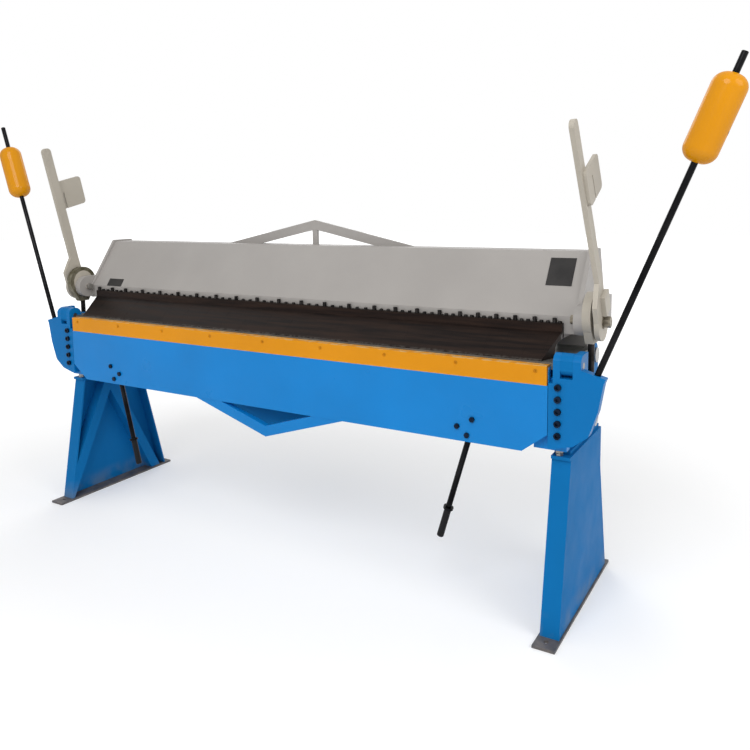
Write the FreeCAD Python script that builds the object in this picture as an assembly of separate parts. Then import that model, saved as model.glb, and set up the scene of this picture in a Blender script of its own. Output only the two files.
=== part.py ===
import FreeCAD, Part
import math
import os

# Box and pan brake with a 2540 mm finger row. Millimetres, +X along the bend line, +Y to the rear, +Z up.
# While it is built, Z = 0 is the floor, X = 0 the middle and Y = 0 the front face of the bending leaf.

V = FreeCAD.Vector

# Fingers: their widths from left to right add up to the working length
INCH = 25.4
WIDE_FINGER = 5 * INCH
MEDIUM_FINGER = 4 * INCH
SMALL_FINGER = 3.5 * INCH
NARROW_FINGER = 3 * INCH
END_FINGER = 1.5 * INCH
FINGER_ROW = ([MEDIUM_FINGER] * 2 + [WIDE_FINGER] * 12 + [MEDIUM_FINGER] * 3
              + [SMALL_FINGER] + [NARROW_FINGER] * 5 + [END_FINGER])
WORK_HALF = sum(FINGER_ROW) / 2

# Height of the bed and thickness of the leaf, whose rear face lies on the bend line
BED_TOP_Z = 980.0
LEAF_THICKNESS = 36.0
BEND_Y = LEAF_THICKNESS

# Clearances, and how far a cut runs past the face it opens
LEAF_GAP = 0.3
RUN_FIT = 0.05
BOLT_FIT = 0.1
SIDE_GAP = 0.3
SLIDE_FIT = 0.1
CUT = 1.0

# Bolt heads: share of the corner radius taken off by the crown
HEAD_CROWN = 0.07

# Bending leaf and the folding strip on its edge
LEAF_OVERHANG = 3.0
LEAF_HALF = WORK_HALF + LEAF_OVERHANG
LEAF_HEIGHT = 325.0
LEAF_BOTTOM_Z = BED_TOP_Z - LEAF_HEIGHT
LEAF_CHAMFER_X = 93.0
LEAF_CHAMFER_Z = 72.0
STRIP_SETBACK = 1.0
STRIP_HALF = WORK_HALF - STRIP_SETBACK
STRIP_HEIGHT = 70.0
STRIP_THICKNESS = 16.0
STRIP_LIP = 8.0
STRIP_DROP = 6.0
STRIP_TOP_Z = BED_TOP_Z - STRIP_DROP
STRIP_SCREW_COUNT = 9
STRIP_SCREW_END = 41.0
STRIP_SCREW_R = 4.0
STRIP_SCREW_HEAD_R = 8.0
STRIP_SCREW_SINK = 2.0
STRIP_SCREW_LENGTH = 24.0
STRIP_SCREW_SOCKET = 5.0
STRIP_SCREW_DROP = 27.0

# Bed beam, bed plate and end frames
BED_OVERHANG = 34.0
BED_HALF = WORK_HALF + BED_OVERHANG
BED_SETBACK = 42.0
BED_FRONT_Y = BEND_Y + BED_SETBACK
BED_WIDTH = 307.0
BED_REAR_Y = BED_FRONT_Y + BED_WIDTH
BED_DEPTH = 280.0
BED_BOTTOM_Z = BED_TOP_Z - BED_DEPTH
BED_WALL = 12.0
BED_PLATE = 25.0
BED_PLATE_HOLE_R = 6.0
BED_PLATE_HOLE = (7.0, 28.0)
FRAME_PLATE = 20.0
FRAME_OUTER_X = BED_HALF + FRAME_PLATE
FRAME_FRONT_GAP = 4.0
FRAME_REAR_Y = 485.0
FRAME_FLANGE = 12.0
FRAME_FLANGE_X = BED_HALF - 28.0
FRAME_FLANGE_END_X = BED_HALF + 30.0
FRAME_BOLT_R = 8.0
FRAME_BOLT_HEAD = 24.0
FRAME_BOLT_HEAD_HEIGHT = 10.0
BED_BOLTS = [(240.0, 740.0), (350.0, 740.0), (240.0, 910.0), (350.0, 910.0)]
FLANGE_BOLT_X = BED_HALF - 14.0
FLANGE_BOLT_HEAD = 22.0
FLANGE_BOLTS_Y = [120.0, 280.0, 440.0]
BED_TRUSS_REACH = 600.0
BED_TRUSS_DROP = 185.0
BED_TRUSS_WIDTH = 100.0
BED_TRUSS_SETBACK = 32.0

# Leaf hinge: fixed knuckle between two ears of the wing
HUB_R = 40.0
PIN_R = 12.0
KNUCKLE_GAP = 12.0
KNUCKLE_X = BED_HALF + KNUCKLE_GAP
KNUCKLE_WIDTH = 44.0
KNUCKLE_END_X = KNUCKLE_X + KNUCKLE_WIDTH
INNER_EAR_WIDTH = 25.0
INNER_EAR_X = KNUCKLE_X - SIDE_GAP - INNER_EAR_WIDTH
OUTER_EAR_WIDTH = 28.0
OUTER_EAR_X = KNUCKLE_END_X + SIDE_GAP
OUTER_EAR_END_X = OUTER_EAR_X + OUTER_EAR_WIDTH
OUTER_EAR_DEPTH = 90.0
KNUCKLE_REACH = 104.0
KNUCKLE_DEPTH = 110.0
KNUCKLE_BOLTS = [(112.0, 935.0), (112.0, 895.0)]
EAR_ROOM = 5.0
FRAME_FRONT_Y = BEND_Y + HUB_R + FRAME_FRONT_GAP
NOSE_GAP = 2.7

# Wings: outline steps out from the knuckle end and down from the bed top
WING_GAP = 2.0
WING_INNER_X = LEAF_HALF + WING_GAP
WING_SHELF_DROP = 65.0
WING_SHELF_Z = BED_TOP_Z - WING_SHELF_DROP
WING_NECK_DROP = 10.0
WING_ELBOW = (57.0, 240.0)
WING_OUTLINE = [(112.0, 32.0), (105.0, 50.0), (88.0, 147.0), WING_ELBOW, (4.0, 281.0), (-65.0, 300.0)]
WING_CORNER_R = 32.0

# Bolts of the wings and the end blocks behind them
WING_BOLT_IN = 35.0
WING_BOLT_X = WING_INNER_X + WING_BOLT_IN
WING_BOLT_DROP = 77.0
WING_BOLT_PITCH = 43.25
WING_BOLT_COUNT = 5
WING_BOLT_R = 8.0
WING_BOLT_END_GAP = 2.0
WING_BOLT_HEAD_R = 12.0
WING_BOLT_HEAD = 11.0
WING_BOLT_SOCKET = 12.0
WING_BOLT_SOCKET_DEPTH = 7.0
BLOCK_OVERLAP = 60.0
BLOCK_X = LEAF_HALF - BLOCK_OVERLAP
BLOCK_EDGE = 23.0
BLOCK_END_X = WING_BOLT_X + BLOCK_EDGE
BLOCK_RISE = 9.0
BLOCK_BOTTOM_Z = LEAF_BOTTOM_Z + BLOCK_RISE
BLOCK_TOP_RISE = 10.0
BLOCK_TOP_Z = WING_SHELF_Z + BLOCK_TOP_RISE
BLOCK_DEPTH = 34.0
BLOCK_HOLE_END = 8.0

# Leaf truss
TRUSS_WIDTH = 46.0
TRUSS_DEPTH = 28.0
LEAF_TRUSS_SETBACK = 2.0
LEAF_TRUSS_REACH = 411.0
LEAF_TRUSS_DROP = 128.0

# Lift handles: steps out from the handle line and down from the leaf
HANDLE_IN = 306.0
HANDLE_X = LEAF_HALF - HANDLE_IN
RIGHT_HANDLE = [(-20.0, 17.0), (-140.0, 421.0)]
LEFT_HANDLE = [(15.0, 17.0), (-85.0, 421.0)]
HANDLE_SETBACK = 20.0
HANDLE_Y = BEND_Y + HANDLE_SETBACK
HANDLE_R = 11.5
HANDLE_COLLAR_R = 20.0
HANDLE_COLLAR_LENGTH = 10.0
HANDLE_GRIP_R = 14.0
HANDLE_GRIP_LENGTH = 124.0
HANDLE_GRIP_ROUND = 5.0
HANDLE_GRIP_END = 4.0
HANDLE_ROOT_LENGTH = 96.0
BRACKET_BOLTS = [(HANDLE_X + 21.0, LEAF_BOTTOM_Z + 89.0), (HANDLE_X - 40.0, LEAF_BOTTOM_Z + 56.0),
                 (HANDLE_X, LEAF_BOTTOM_Z + 26.0)]
BRACKET_PLATE = 8.0
BRACKET_EDGE = 20.0
BRACKET_SIDE = 24.0
BRACKET_SOCKET_R = 16.0
BRACKET_SOCKET_LENGTH = 82.0
BRACKET_BOLT_R = 6.0
BRACKET_BOLT_HEAD = 19.0
BRACKET_BOLT_HEAD_HEIGHT = 8.0

# Counterweight rods, which stand in the upper edge of the wings and lean out and back
ROD_R = 11.0
ROD_OUT = 78.0
ROD_DROP = 29.0
ROD_RUN = 410.0
ROD_LEAN = 47.0
ROD_RISE = 1037.0
ROD_SINK = 40.0
ROD_CHAMFER = 2.0
ROD_FOOT = V(KNUCKLE_END_X + ROD_OUT, LEAF_THICKNESS / 2, BED_TOP_Z - ROD_DROP)
ROD_TIP = ROD_FOOT + V(ROD_RUN, ROD_LEAN, ROD_RISE)
ROD_LINE = (ROD_TIP - ROD_FOOT).normalize()

# Sliding weights
WEIGHT_R = 55.0
WEIGHT_LENGTH = 285.0
WEIGHT_FILLET = 44.0
LEFT_WEIGHT_AT = 850.0
RIGHT_WEIGHT_AT = 906.0
WEIGHT_SCREW_R = 8.0
WEIGHT_SCREW_SINK = 8.0
WEIGHT_SCREW_SOCKET = 6.0
WEIGHT_SCREW_SOCKET_DEPTH = 6.0
WEIGHT_SCREW_DROP = 30.0

# Feet and legs
FOOT_INNER_X = BED_HALF - 36.0
FOOT_OUTER_X = BED_HALF + 46.0
FOOT_FRONT_Y = -130.0
FOOT_REAR_Y = 630.0
FOOT_THICKNESS = 10.0
ANCHOR_X = BED_HALF + 2.0
ANCHOR_FRONT_Y = -86.0
ANCHOR_REAR_Y = 611.0
ANCHOR_R = 9.0
LEG_OUTER_X = BED_HALF + 40.0
LEG_WIDTH = 70.0
LEG_PLATE = 8.0
LEG_TOP_Z = 641.0
LEG_FRONT = [(-60.0, FOOT_THICKNESS), (58.0, LEG_TOP_Z)]
LEG_REAR = [(476.0, LEG_TOP_Z), (476.0, 479.0), (591.0, FOOT_THICKNESS)]
LEG_CAP = 12.0
LEG_CAP_FRONT_Y = 44.0
# Rib lines as (Y, Z) points: they run past the channel, which trims them
RIB_APEX = (221.0, 603.0)
RIB_FRONT = (-77.0, 10.0)
RIB_REAR = (530.0, -14.0)
RIB_WIDTH = 55.0
RIB_PLATE = 6.0
STOP_BOLT_X = BED_HALF - 4.0
STOP_BOLT_Y = 60.0
STOP_BOLT_R = 8.0
STOP_BOLT_HEAD = 24.0
STOP_BOLT_HEAD_HEIGHT = 10.0
STOP_NUT_HEIGHT = 8.0
STOP_BOLT_GAP = 3.0
STOP_BOLT_SINK = 10.0

# Clamping beam section, seen from the end: the floor stands over the bed by the throat
BEAM_OVERHANG = 46.0
BEAM_HALF = WORK_HALF + BEAM_OVERHANG
BEAM_PLATE = 10.0
THROAT_HEIGHT = 80.0
BEAM_FLOOR_Z = BED_TOP_Z + THROAT_HEIGHT
BEAM_FLOOR = 16.0
BEAM_SETBACK = 150.0
BEAM_FOOT_Y = BEND_Y + BEAM_SETBACK
BEAM_KNEE_RISE = 65.0
BEAM_KNEE_Z = BEAM_FLOOR_Z + BEAM_KNEE_RISE
BEAM_TOP_RISE = 294.0
BEAM_TOP_Z = BEAM_FLOOR_Z + BEAM_TOP_RISE
BEAM_TOP_BACK = 162.0
BEAM_TOP_Y = BEAM_FOOT_Y + BEAM_TOP_BACK
BEAM_CREST_BACK = 267.0
BEAM_CREST_Y = BEAM_FOOT_Y + BEAM_CREST_BACK
BEAM_DEPTH = 330.0
BEAM_BACK_Y = BEAM_FOOT_Y + BEAM_DEPTH
BEAM_BACK_RISE = 128.0
BEAM_BACK_Z = BEAM_FLOOR_Z + BEAM_BACK_RISE
BEAM_END_PLATE = 16.0
BEAM_END_LIP = 8.0
BEAM_END_ROUND = 14.0

# Rear pivot of the beam
PIVOT_ARM_WIDTH = 24.0
PIVOT_ARM_GAP = 1.0
PIVOT_ARM_X = BED_HALF - PIVOT_ARM_GAP - PIVOT_ARM_WIDTH
PIVOT_ARM_LUG_R = 40.0
PIVOT_ARM_ROOM = 10.0
PIVOT_ARM_FLANGE = 120.0
PIVOT_ARM_FLANGE_DROP = 100.0
PIVOT_ARM_FLANGE_PLATE = 14.0
PIVOT_Y = BED_REAR_Y + PIVOT_ARM_ROOM + PIVOT_ARM_LUG_R
PIVOT_DROP = 40.0
PIVOT_Z = BED_TOP_Z - PIVOT_DROP
PIVOT_R = 20.0
PIVOT_LUG_R = 50.0
PIVOT_HEAD_R = 30.0
PIVOT_HEAD = 10.0

# Truss on the beam
BEAM_TRUSS_SETBACK = 228.0
BEAM_TRUSS_PLATE = 12.0
BEAM_TRUSS_RISE = 116.0
BEAM_TRUSS_REACH = 535.0
BEAM_TRUSS_WIDTH = 43.0
BEAM_STRUT_WIDTH = 28.0

# Finger section: nose behind the bend line, slope, step for the clamp bar and tongue
FINGER_GAP = 0.3
FINGER_LIFT = 0.3
FINGER_FLOOR_Z = BED_TOP_Z + FINGER_LIFT
FINGER_NOSE_SETBACK = 6.0
FINGER_NOSE_Y = BEND_Y + FINGER_NOSE_SETBACK
FINGER_NOSE_HEIGHT = 2.0
FINGER_RISE = 86.4
FINGER_DEPTH = 122.0
FINGER_FACE_Y = FINGER_NOSE_Y + FINGER_DEPTH
FINGER_HEEL_Y = BEND_Y + 84.0
FINGER_THROAT = [(BEND_Y + 104.0, BED_TOP_Z + 57.0), (BEND_Y + 92.0, BED_TOP_Z + 40.0)]
FINGER_TONGUE = 17.0
TONGUE_BOTTOM_Z = BEAM_FLOOR_Z - FINGER_TONGUE
FINGER_BACKING = 114.0
FINGER_TAPER = 36.0

# Clamp bar and the screws on its upper edge
CLAMP_BAR_HEIGHT = 40.0
CLAMP_BAR_TOP_Z = BEAM_FLOOR_Z + CLAMP_BAR_HEIGHT
CLAMP_BAR_OVERHANG = 2.0
CLAMP_BAR_HALF = WORK_HALF + CLAMP_BAR_OVERHANG
FINGER_BOLT_Y = (FINGER_FACE_Y + BEAM_FOOT_Y) / 2
FINGER_BOLT_R = 5.0
FINGER_BOLT_HEAD_R = 8.0
FINGER_BOLT_HEAD = 18.0
FINGER_BOLT_SOCKET = 8.0
FINGER_BOLT_SINK = 12.0
FINGER_BOLT_EDGE = 9.0
CLAMP_SCREW_R = 4.0
CLAMP_SCREW_HEAD_R = 7.5
CLAMP_SCREW_HEAD = 8.0
CLAMP_SCREW_ROUND = 3.0
CLAMP_SCREW_LENGTH = 30.0
BLIND_END = 2.0

# Blank plates on the beam: steps in from the beam end, then along the slope from the knee upward
BLANK_THICKNESS = 1.5
RIGHT_BLANK = (139.0, 39.0, 126.0, 248.0)
LEFT_BLANK = (211.0, 103.0, 0.0, 44.0)

# Clamping shaft and its ear on the beam end
SHAFT_AHEAD = 28.0
SHAFT_Y = BEAM_FOOT_Y - SHAFT_AHEAD
SHAFT_RISE = 59.0
SHAFT_Z = BEAM_FLOOR_Z + SHAFT_RISE
SHAFT_R = 15.0
EAR_R = 55.0
EAR_SINK = 4.0
EAR_X = BEAM_HALF + BEAM_END_PLATE - EAR_SINK
EAR_WIDTH = 36.0
EAR_END_X = EAR_X + EAR_WIDTH
SHAFT_BOLT_R = 8.0
SHAFT_BOLT_SINK = 30.0
SHAFT_BOLT_HEAD = 36.0
SHAFT_BOLT_HEAD_HEIGHT = 22.0
SHAFT_WASHER_R = 25.0
SHAFT_WASHER = 4.0
SHAFT_NUT = 30.0
SHAFT_NUT_HEIGHT = 18.0

# Eccentric and link
ECCENTRICITY = 25.0
ECCENTRIC_R = 60.0
ECCENTRIC_Z = SHAFT_Z + ECCENTRICITY
LINK_HEAD_GAP = 1.5
LINK_HEAD_X = EAR_END_X + LINK_HEAD_GAP
LINK_HEAD_WIDTH = 30.0
LINK_HEAD_END_X = LINK_HEAD_X + LINK_HEAD_WIDTH
LINK_HEAD_R = 80.0
LINK_HEAD_FOOT = 28.0
LINK_HEAD_DROP = 79.0
LINK_HEAD_FOOT_Z = SHAFT_Z - LINK_HEAD_DROP
LINK_NECK = 0.5
LINK_ROD_R = 12.0
LINK_ROD_X = (LINK_HEAD_X + LINK_HEAD_END_X) / 2
LINK_ROD_SINK = 20.0
LINK_PIN_DROP = 210.0
LINK_PIN_Z = BED_TOP_Z - LINK_PIN_DROP
LINK_PIN_R = 12.0
LINK_PIN_PLAY = 10.0
LINK_EYE_R = 34.0
LINK_EYE_WIDTH = 25.0
LINK_EYE_GAP = 4.0
LINK_PIN_HEAD_R = 32.0
LINK_PIN_HEAD = 6.0
LINK_PIN_SINK = 24.0
ANCHOR_BLOCK = 60.0
ANCHOR_BLOCK_END_X = LINK_ROD_X - LINK_EYE_WIDTH / 2 - LINK_EYE_GAP

# Clamping levers: v runs to the rear and u up from the shaft
COLLAR_R = 25.0
LEVER_GAP = 10.0
LEVER_X = LINK_HEAD_END_X + LEVER_GAP
LEVER_PLATE = 17.0
LEVER_OUTER_X = LEVER_X + LEVER_PLATE
LEVER_HUB_R = 70.0
LEVER_FOOT = [(-62.0, 20.0), (-60.0, 95.0), (-22.0, 140.0)]
LEVER_LENGTH = 748.0
LEVER_WIDTH = 48.0
LEVER_OFFSET = 22.0
LEVER_BEND_AT = 160.0
LEVER_BEND_JOIN = 8.0
LEVER_LEAN_IN = 2.1
LEVER_END_R = 20.0
LEFT_LEVER_LEAN = 14.5
RIGHT_LEVER_LEAN = 27.0
LEVER_BOSS = (28.0, 106.0, 30.0)
LEVER_BOSS_PLATE = 16.0
PAD_IN = 8.0
PAD_PLATE = 12.0
PAD_CORNER_R = 18.0
PAD_SLOT_WIDTH = 8.0
PAD_SLOT_AT = 66.0
PAD_SLOT_LENGTH = 82.0

# Lever pads: lower and upper edge down from the lever end, and the outer edge
LEFT_PAD = (330.0, 182.0, 194.0)
RIGHT_PAD = (298.0, 172.0, 160.0)


def box(x0, x1, y0, y1, z0, z1):
    """Block between two corners."""
    return Part.makeBox(x1 - x0, y1 - y0, z1 - z0, V(x0, y0, z0))


def cylinder(start, direction, radius, length):
    """Round bar from a point along a direction."""
    return Part.makeCylinder(radius, length, start, direction)


def along_x(x0, x1, y, z, radius):
    """Round bar along X."""
    return cylinder(V(x0, y, z), V(1, 0, 0), radius, x1 - x0)


def side_plate(points, x0, x1):
    """Plate whose outline is drawn from the side, as (Y, Z) points."""
    wire = Part.makePolygon([V(x0, y, z) for y, z in points + points[:1]])
    return Part.Face(wire).extrude(V(x1 - x0, 0, 0))


def front_plate(points, y0, y1):
    """Plate whose outline is drawn from the front, as (X, Z) points."""
    wire = Part.makePolygon([V(x, y0, z) for x, z in points + points[:1]])
    return Part.Face(wire).extrude(V(0, y1 - y0, 0))


def mirrored(shape):
    """The left-hand copy of a right-hand piece."""
    return shape.mirror(V(0, 0, 0), V(1, 0, 0))


def both_sides(shapes):
    """Right-hand solids and their left-hand copies."""
    return shapes + [mirrored(shape) for shape in shapes]


def prism(start, direction, across_flats, height):
    """Plain hexagonal prism from a point along a direction."""
    outer = across_flats / math.sqrt(3)
    points = []
    for index in range(7):
        angle = math.radians(60 * index)
        points.append(V(outer * math.cos(angle), outer * math.sin(angle), 0))
    solid = Part.Face(Part.makePolygon(points)).extrude(V(0, 0, height))
    solid.Placement = FreeCAD.Placement(start, FreeCAD.Rotation(V(0, 0, 1), direction))
    return solid


def hexagon(start, direction, across_flats, height):
    """Hexagonal bolt head or nut with its outer corners taken off."""
    top = across_flats / math.sqrt(3) * (1 - HEAD_CROWN)
    crown = Part.makeCone(top + height, top, height, start, direction)
    return prism(start, direction, across_flats, height).common(crown)


def socket_head(face, direction, radius, height, across_flats, depth):
    """Round bolt head outside a face point with a hexagonal socket in its end."""
    socket = prism(face + direction * (height - depth), direction, across_flats, depth + CUT)
    return cylinder(face, direction, radius, height).cut(socket)


def hex_bolt(face, direction, radius, length, across_flats, head):
    """Bolt with its head outside a face point and its shank going in."""
    inward = V(-direction.x, -direction.y, -direction.z)
    shank = cylinder(face, inward, radius, length)
    return hexagon(face, direction, across_flats, head).fuse(shank).removeSplitter()


def rounded(shape, radius, picked):
    """Fillet the edges for which picked(edge) is true."""
    edges = [edge for edge in shape.Edges if picked(edge)]
    return shape.makeFillet(radius, edges)


def flat_bar(start, end, width, normal, thickness):
    """Flat bar between two points of its centre line, extruded along its normal."""
    line = (end - start).normalize()
    side = line.cross(normal).normalize() * (width / 2)
    points = [start + side, end + side, end - side, start - side, start + side]
    return Part.Face(Part.makePolygon(points)).extrude(normal * thickness)


def foot_plates():
    """Bare steel plates under the legs, each with two anchor holes."""
    plate = box(FOOT_INNER_X, FOOT_OUTER_X, FOOT_FRONT_Y, FOOT_REAR_Y, 0, FOOT_THICKNESS)
    for y in (ANCHOR_FRONT_Y, ANCHOR_REAR_Y):
        plate = plate.cut(cylinder(V(ANCHOR_X, y, -CUT), V(0, 0, 1), ANCHOR_R, FOOT_THICKNESS + 2 * CUT))
    return both_sides([plate])


def leg_hollow():
    """Inside of the leg channel: the side outline moved in by the plate thickness."""
    (front_y, low_z), (front_top_y, front_top_z) = LEG_FRONT
    rear_y, knee_z = LEG_REAR[1]
    foot_y = LEG_REAR[2][0]
    top_z = LEG_TOP_Z - LEG_CAP
    front_slope = (front_top_y - front_y) / (front_top_z - low_z)
    rear_slope = (foot_y - rear_y) / (knee_z - low_z)
    inner_front_y = front_y + LEG_PLATE * math.hypot(1, front_slope)
    inner_foot_y = foot_y - LEG_PLATE * math.hypot(1, rear_slope)
    inner_rear_y = rear_y - LEG_PLATE
    inner_knee_z = low_z + (inner_foot_y - inner_rear_y) / rear_slope
    outline = [(inner_front_y, low_z), (inner_front_y + front_slope * (top_z - low_z), top_z),
               (inner_rear_y, top_z), (inner_rear_y, inner_knee_z), (inner_foot_y, low_z)]
    return side_plate(outline, LEG_OUTER_X - LEG_WIDTH - CUT, LEG_OUTER_X - LEG_PLATE)


def leg():
    """Folded channel leg with a cap plate, open towards the middle."""
    inner_x = LEG_OUTER_X - LEG_WIDTH
    body = side_plate(LEG_FRONT + LEG_REAR, inner_x, LEG_OUTER_X).cut(leg_hollow())
    cap = box(inner_x, LEG_OUTER_X, LEG_CAP_FRONT_Y, LEG_REAR[0][0], LEG_TOP_Z - LEG_CAP, LEG_TOP_Z)
    body = body.fuse(cap)
    body = body.cut(cylinder(V(STOP_BOLT_X, STOP_BOLT_Y, LEG_TOP_Z - STOP_BOLT_SINK), V(0, 0, 1),
                             STOP_BOLT_R + BOLT_FIT, STOP_BOLT_SINK + CUT))
    for y in FLANGE_BOLTS_Y:
        body = body.cut(cylinder(V(FLANGE_BOLT_X, y, LEG_TOP_Z - LEG_CAP - CUT), V(0, 0, 1),
                                 FRAME_BOLT_R + BOLT_FIT, LEG_CAP + 2 * CUT))
    return body.removeSplitter()


def rib_vee(x, width):
    """Inverted V of solid bars from a plane across the leg to its web."""
    depth = LEG_OUTER_X - LEG_PLATE - x
    shape = along_x(x, x + depth, RIB_APEX[0], RIB_APEX[1], width / 2)
    for foot in (RIB_FRONT, RIB_REAR):
        shape = shape.fuse(flat_bar(V(x, *foot), V(x, *RIB_APEX), width, V(1, 0, 0), depth))
    return shape


def leg_ribs():
    """Inverted V of folded channel bars, flush with the open side of the leg and backed by its web."""
    face_x = LEG_OUTER_X - LEG_WIDTH
    rib = rib_vee(face_x, RIB_WIDTH).cut(rib_vee(face_x + RIB_PLATE, RIB_WIDTH - 2 * RIB_PLATE))
    return both_sides([rib.common(leg_hollow()).removeSplitter()])


def stop_bolts():
    """Stop screws with lock nuts on the leg caps, just under the end blocks."""
    head_z = BLOCK_BOTTOM_Z - STOP_BOLT_GAP - STOP_BOLT_HEAD_HEIGHT
    bolt = hex_bolt(V(STOP_BOLT_X, STOP_BOLT_Y, head_z), V(0, 0, 1), STOP_BOLT_R,
                    head_z - LEG_TOP_Z + STOP_BOLT_SINK, STOP_BOLT_HEAD, STOP_BOLT_HEAD_HEIGHT)
    nut = hexagon(V(STOP_BOLT_X, STOP_BOLT_Y, LEG_TOP_Z), V(0, 0, 1), STOP_BOLT_HEAD, STOP_NUT_HEIGHT)
    nut = nut.cut(cylinder(V(STOP_BOLT_X, STOP_BOLT_Y, LEG_TOP_Z - CUT), V(0, 0, 1),
                           STOP_BOLT_R + BOLT_FIT, STOP_NUT_HEIGHT + 2 * CUT))
    return both_sides([bolt, nut])


def end_frame():
    """Upright plate on the leg cap with the rear pivot lug of the clamping beam."""
    foot_z = LEG_TOP_Z + FRAME_FLANGE
    top_z = BED_TOP_Z - BED_PLATE
    plate = side_plate([(FRAME_FRONT_Y, foot_z), (FRAME_REAR_Y, foot_z), (FRAME_REAR_Y, PIVOT_Z),
                        (PIVOT_Y, PIVOT_Z), (BED_REAR_Y, top_z), (FRAME_FRONT_Y, top_z)],
                       BED_HALF, FRAME_OUTER_X)
    plate = plate.fuse(along_x(BED_HALF, FRAME_OUTER_X, PIVOT_Y, PIVOT_Z, PIVOT_LUG_R))
    flange = box(FRAME_FLANGE_X, FRAME_FLANGE_END_X, FRAME_FRONT_Y, LEG_REAR[0][0], LEG_TOP_Z, foot_z)
    plate = plate.fuse(flange)
    plate = plate.cut(along_x(BED_HALF - CUT, FRAME_OUTER_X + CUT, PIVOT_Y, PIVOT_Z, PIVOT_R))
    for y, z in BED_BOLTS + KNUCKLE_BOLTS:
        plate = plate.cut(along_x(BED_HALF - CUT, FRAME_OUTER_X + CUT, y, z, FRAME_BOLT_R + BOLT_FIT))
    for y in FLANGE_BOLTS_Y:
        plate = plate.cut(cylinder(V(FLANGE_BOLT_X, y, LEG_TOP_Z - CUT), V(0, 0, 1),
                                   FRAME_BOLT_R + BOLT_FIT, FRAME_FLANGE + 2 * CUT))
    return plate.removeSplitter()


def bed_beam():
    """Welded box beam with closed ends that carries the bed plate."""
    top = BED_TOP_Z - BED_PLATE
    outer = box(-BED_HALF, BED_HALF, BED_FRONT_Y, BED_REAR_Y, BED_BOTTOM_Z, top)
    inner = box(-BED_HALF + BED_WALL, BED_HALF - BED_WALL, BED_FRONT_Y + BED_WALL,
                BED_REAR_Y - BED_WALL, BED_BOTTOM_Z + BED_WALL, top - BED_WALL)
    beam = outer.cut(inner)
    for y, z in BED_BOLTS:
        holes = both_sides([along_x(BED_HALF - BED_WALL - CUT, BED_HALF + CUT, y, z,
                                    FRAME_BOLT_R + BOLT_FIT)])
        beam = beam.cut(holes[0]).cut(holes[1])
    return [beam]


def bed_top_plate():
    """Machined plate over bed and end frames, notched at the front corners for the hinge ears."""
    low = BED_TOP_Z - BED_PLATE
    plate = box(-FRAME_OUTER_X, FRAME_OUTER_X, BEND_Y + LEAF_GAP, BED_REAR_Y, low, BED_TOP_Z)
    notch = box(INNER_EAR_X - NOSE_GAP, FRAME_OUTER_X + CUT, BEND_Y, BEND_Y + HUB_R + EAR_ROOM,
                low - CUT, BED_TOP_Z + CUT)
    out, ahead = BED_PLATE_HOLE
    hole = cylinder(V(BED_HALF - out, BED_REAR_Y - ahead, low - CUT), V(0, 0, 1), BED_PLATE_HOLE_R,
                    BED_PLATE + 2 * CUT)
    for cutter in both_sides([notch, hole]):
        plate = plate.cut(cutter)
    return [plate]


def vee(reach, drop, width, top_z, y0, depth):
    """V-shaped flat truss that hangs from a straight edge."""
    slope = math.atan2(drop, reach)
    inner_drop = drop - width / math.cos(slope)
    inner_reach = reach * inner_drop / drop
    outline = [(-reach, top_z), (0, top_z - drop), (reach, top_z),
               (inner_reach, top_z), (0, top_z - inner_drop), (-inner_reach, top_z)]
    return front_plate(outline, y0, y0 + depth)


def bed_truss():
    """V truss under the bed beam."""
    return [vee(BED_TRUSS_REACH, BED_TRUSS_DROP, BED_TRUSS_WIDTH, BED_BOTTOM_Z,
                BED_FRONT_Y + BED_TRUSS_SETBACK, TRUSS_DEPTH)]


def hinge_brackets():
    """Fixed knuckles of the leaf hinge, bolted to the outside of the end frames."""
    rear = BEND_Y + KNUCKLE_REACH
    low = BED_TOP_Z - KNUCKLE_DEPTH
    outline = [(BEND_Y, BED_TOP_Z), (rear, BED_TOP_Z), (rear, low), (FRAME_FRONT_Y, low),
               (FRAME_FRONT_Y, BED_TOP_Z - HUB_R), (BEND_Y, BED_TOP_Z - HUB_R)]
    knuckle = side_plate(outline, KNUCKLE_X, KNUCKLE_END_X)
    knuckle = knuckle.fuse(hub(KNUCKLE_X, KNUCKLE_END_X))
    room = box(KNUCKLE_X - CUT, FRAME_OUTER_X, FRAME_FRONT_Y, rear + CUT, low - CUT, BED_TOP_Z + HUB_R)
    knuckle = knuckle.cut(room)
    knuckle = knuckle.cut(along_x(KNUCKLE_X - CUT, KNUCKLE_END_X + CUT, BEND_Y, BED_TOP_Z, PIN_R))
    for y, z in KNUCKLE_BOLTS:
        knuckle = knuckle.cut(along_x(KNUCKLE_X, KNUCKLE_END_X + CUT, y, z, FRAME_BOLT_R + BOLT_FIT))
    return both_sides([knuckle.removeSplitter()])


def hinge_pins():
    """Pins pressed into the fixed knuckles; the ears of the wings turn on them."""
    return both_sides([along_x(INNER_EAR_X, OUTER_EAR_END_X, BEND_Y, BED_TOP_Z, PIN_R)])


def beam_pivot_pins():
    """Headed pins pressed into the end frames; the rear arms of the beam turn on them."""
    pin = along_x(PIVOT_ARM_X, FRAME_OUTER_X, PIVOT_Y, PIVOT_Z, PIVOT_R)
    head = along_x(FRAME_OUTER_X, FRAME_OUTER_X + PIVOT_HEAD, PIVOT_Y, PIVOT_Z, PIVOT_HEAD_R)
    return both_sides([pin.fuse(head).removeSplitter()])


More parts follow.
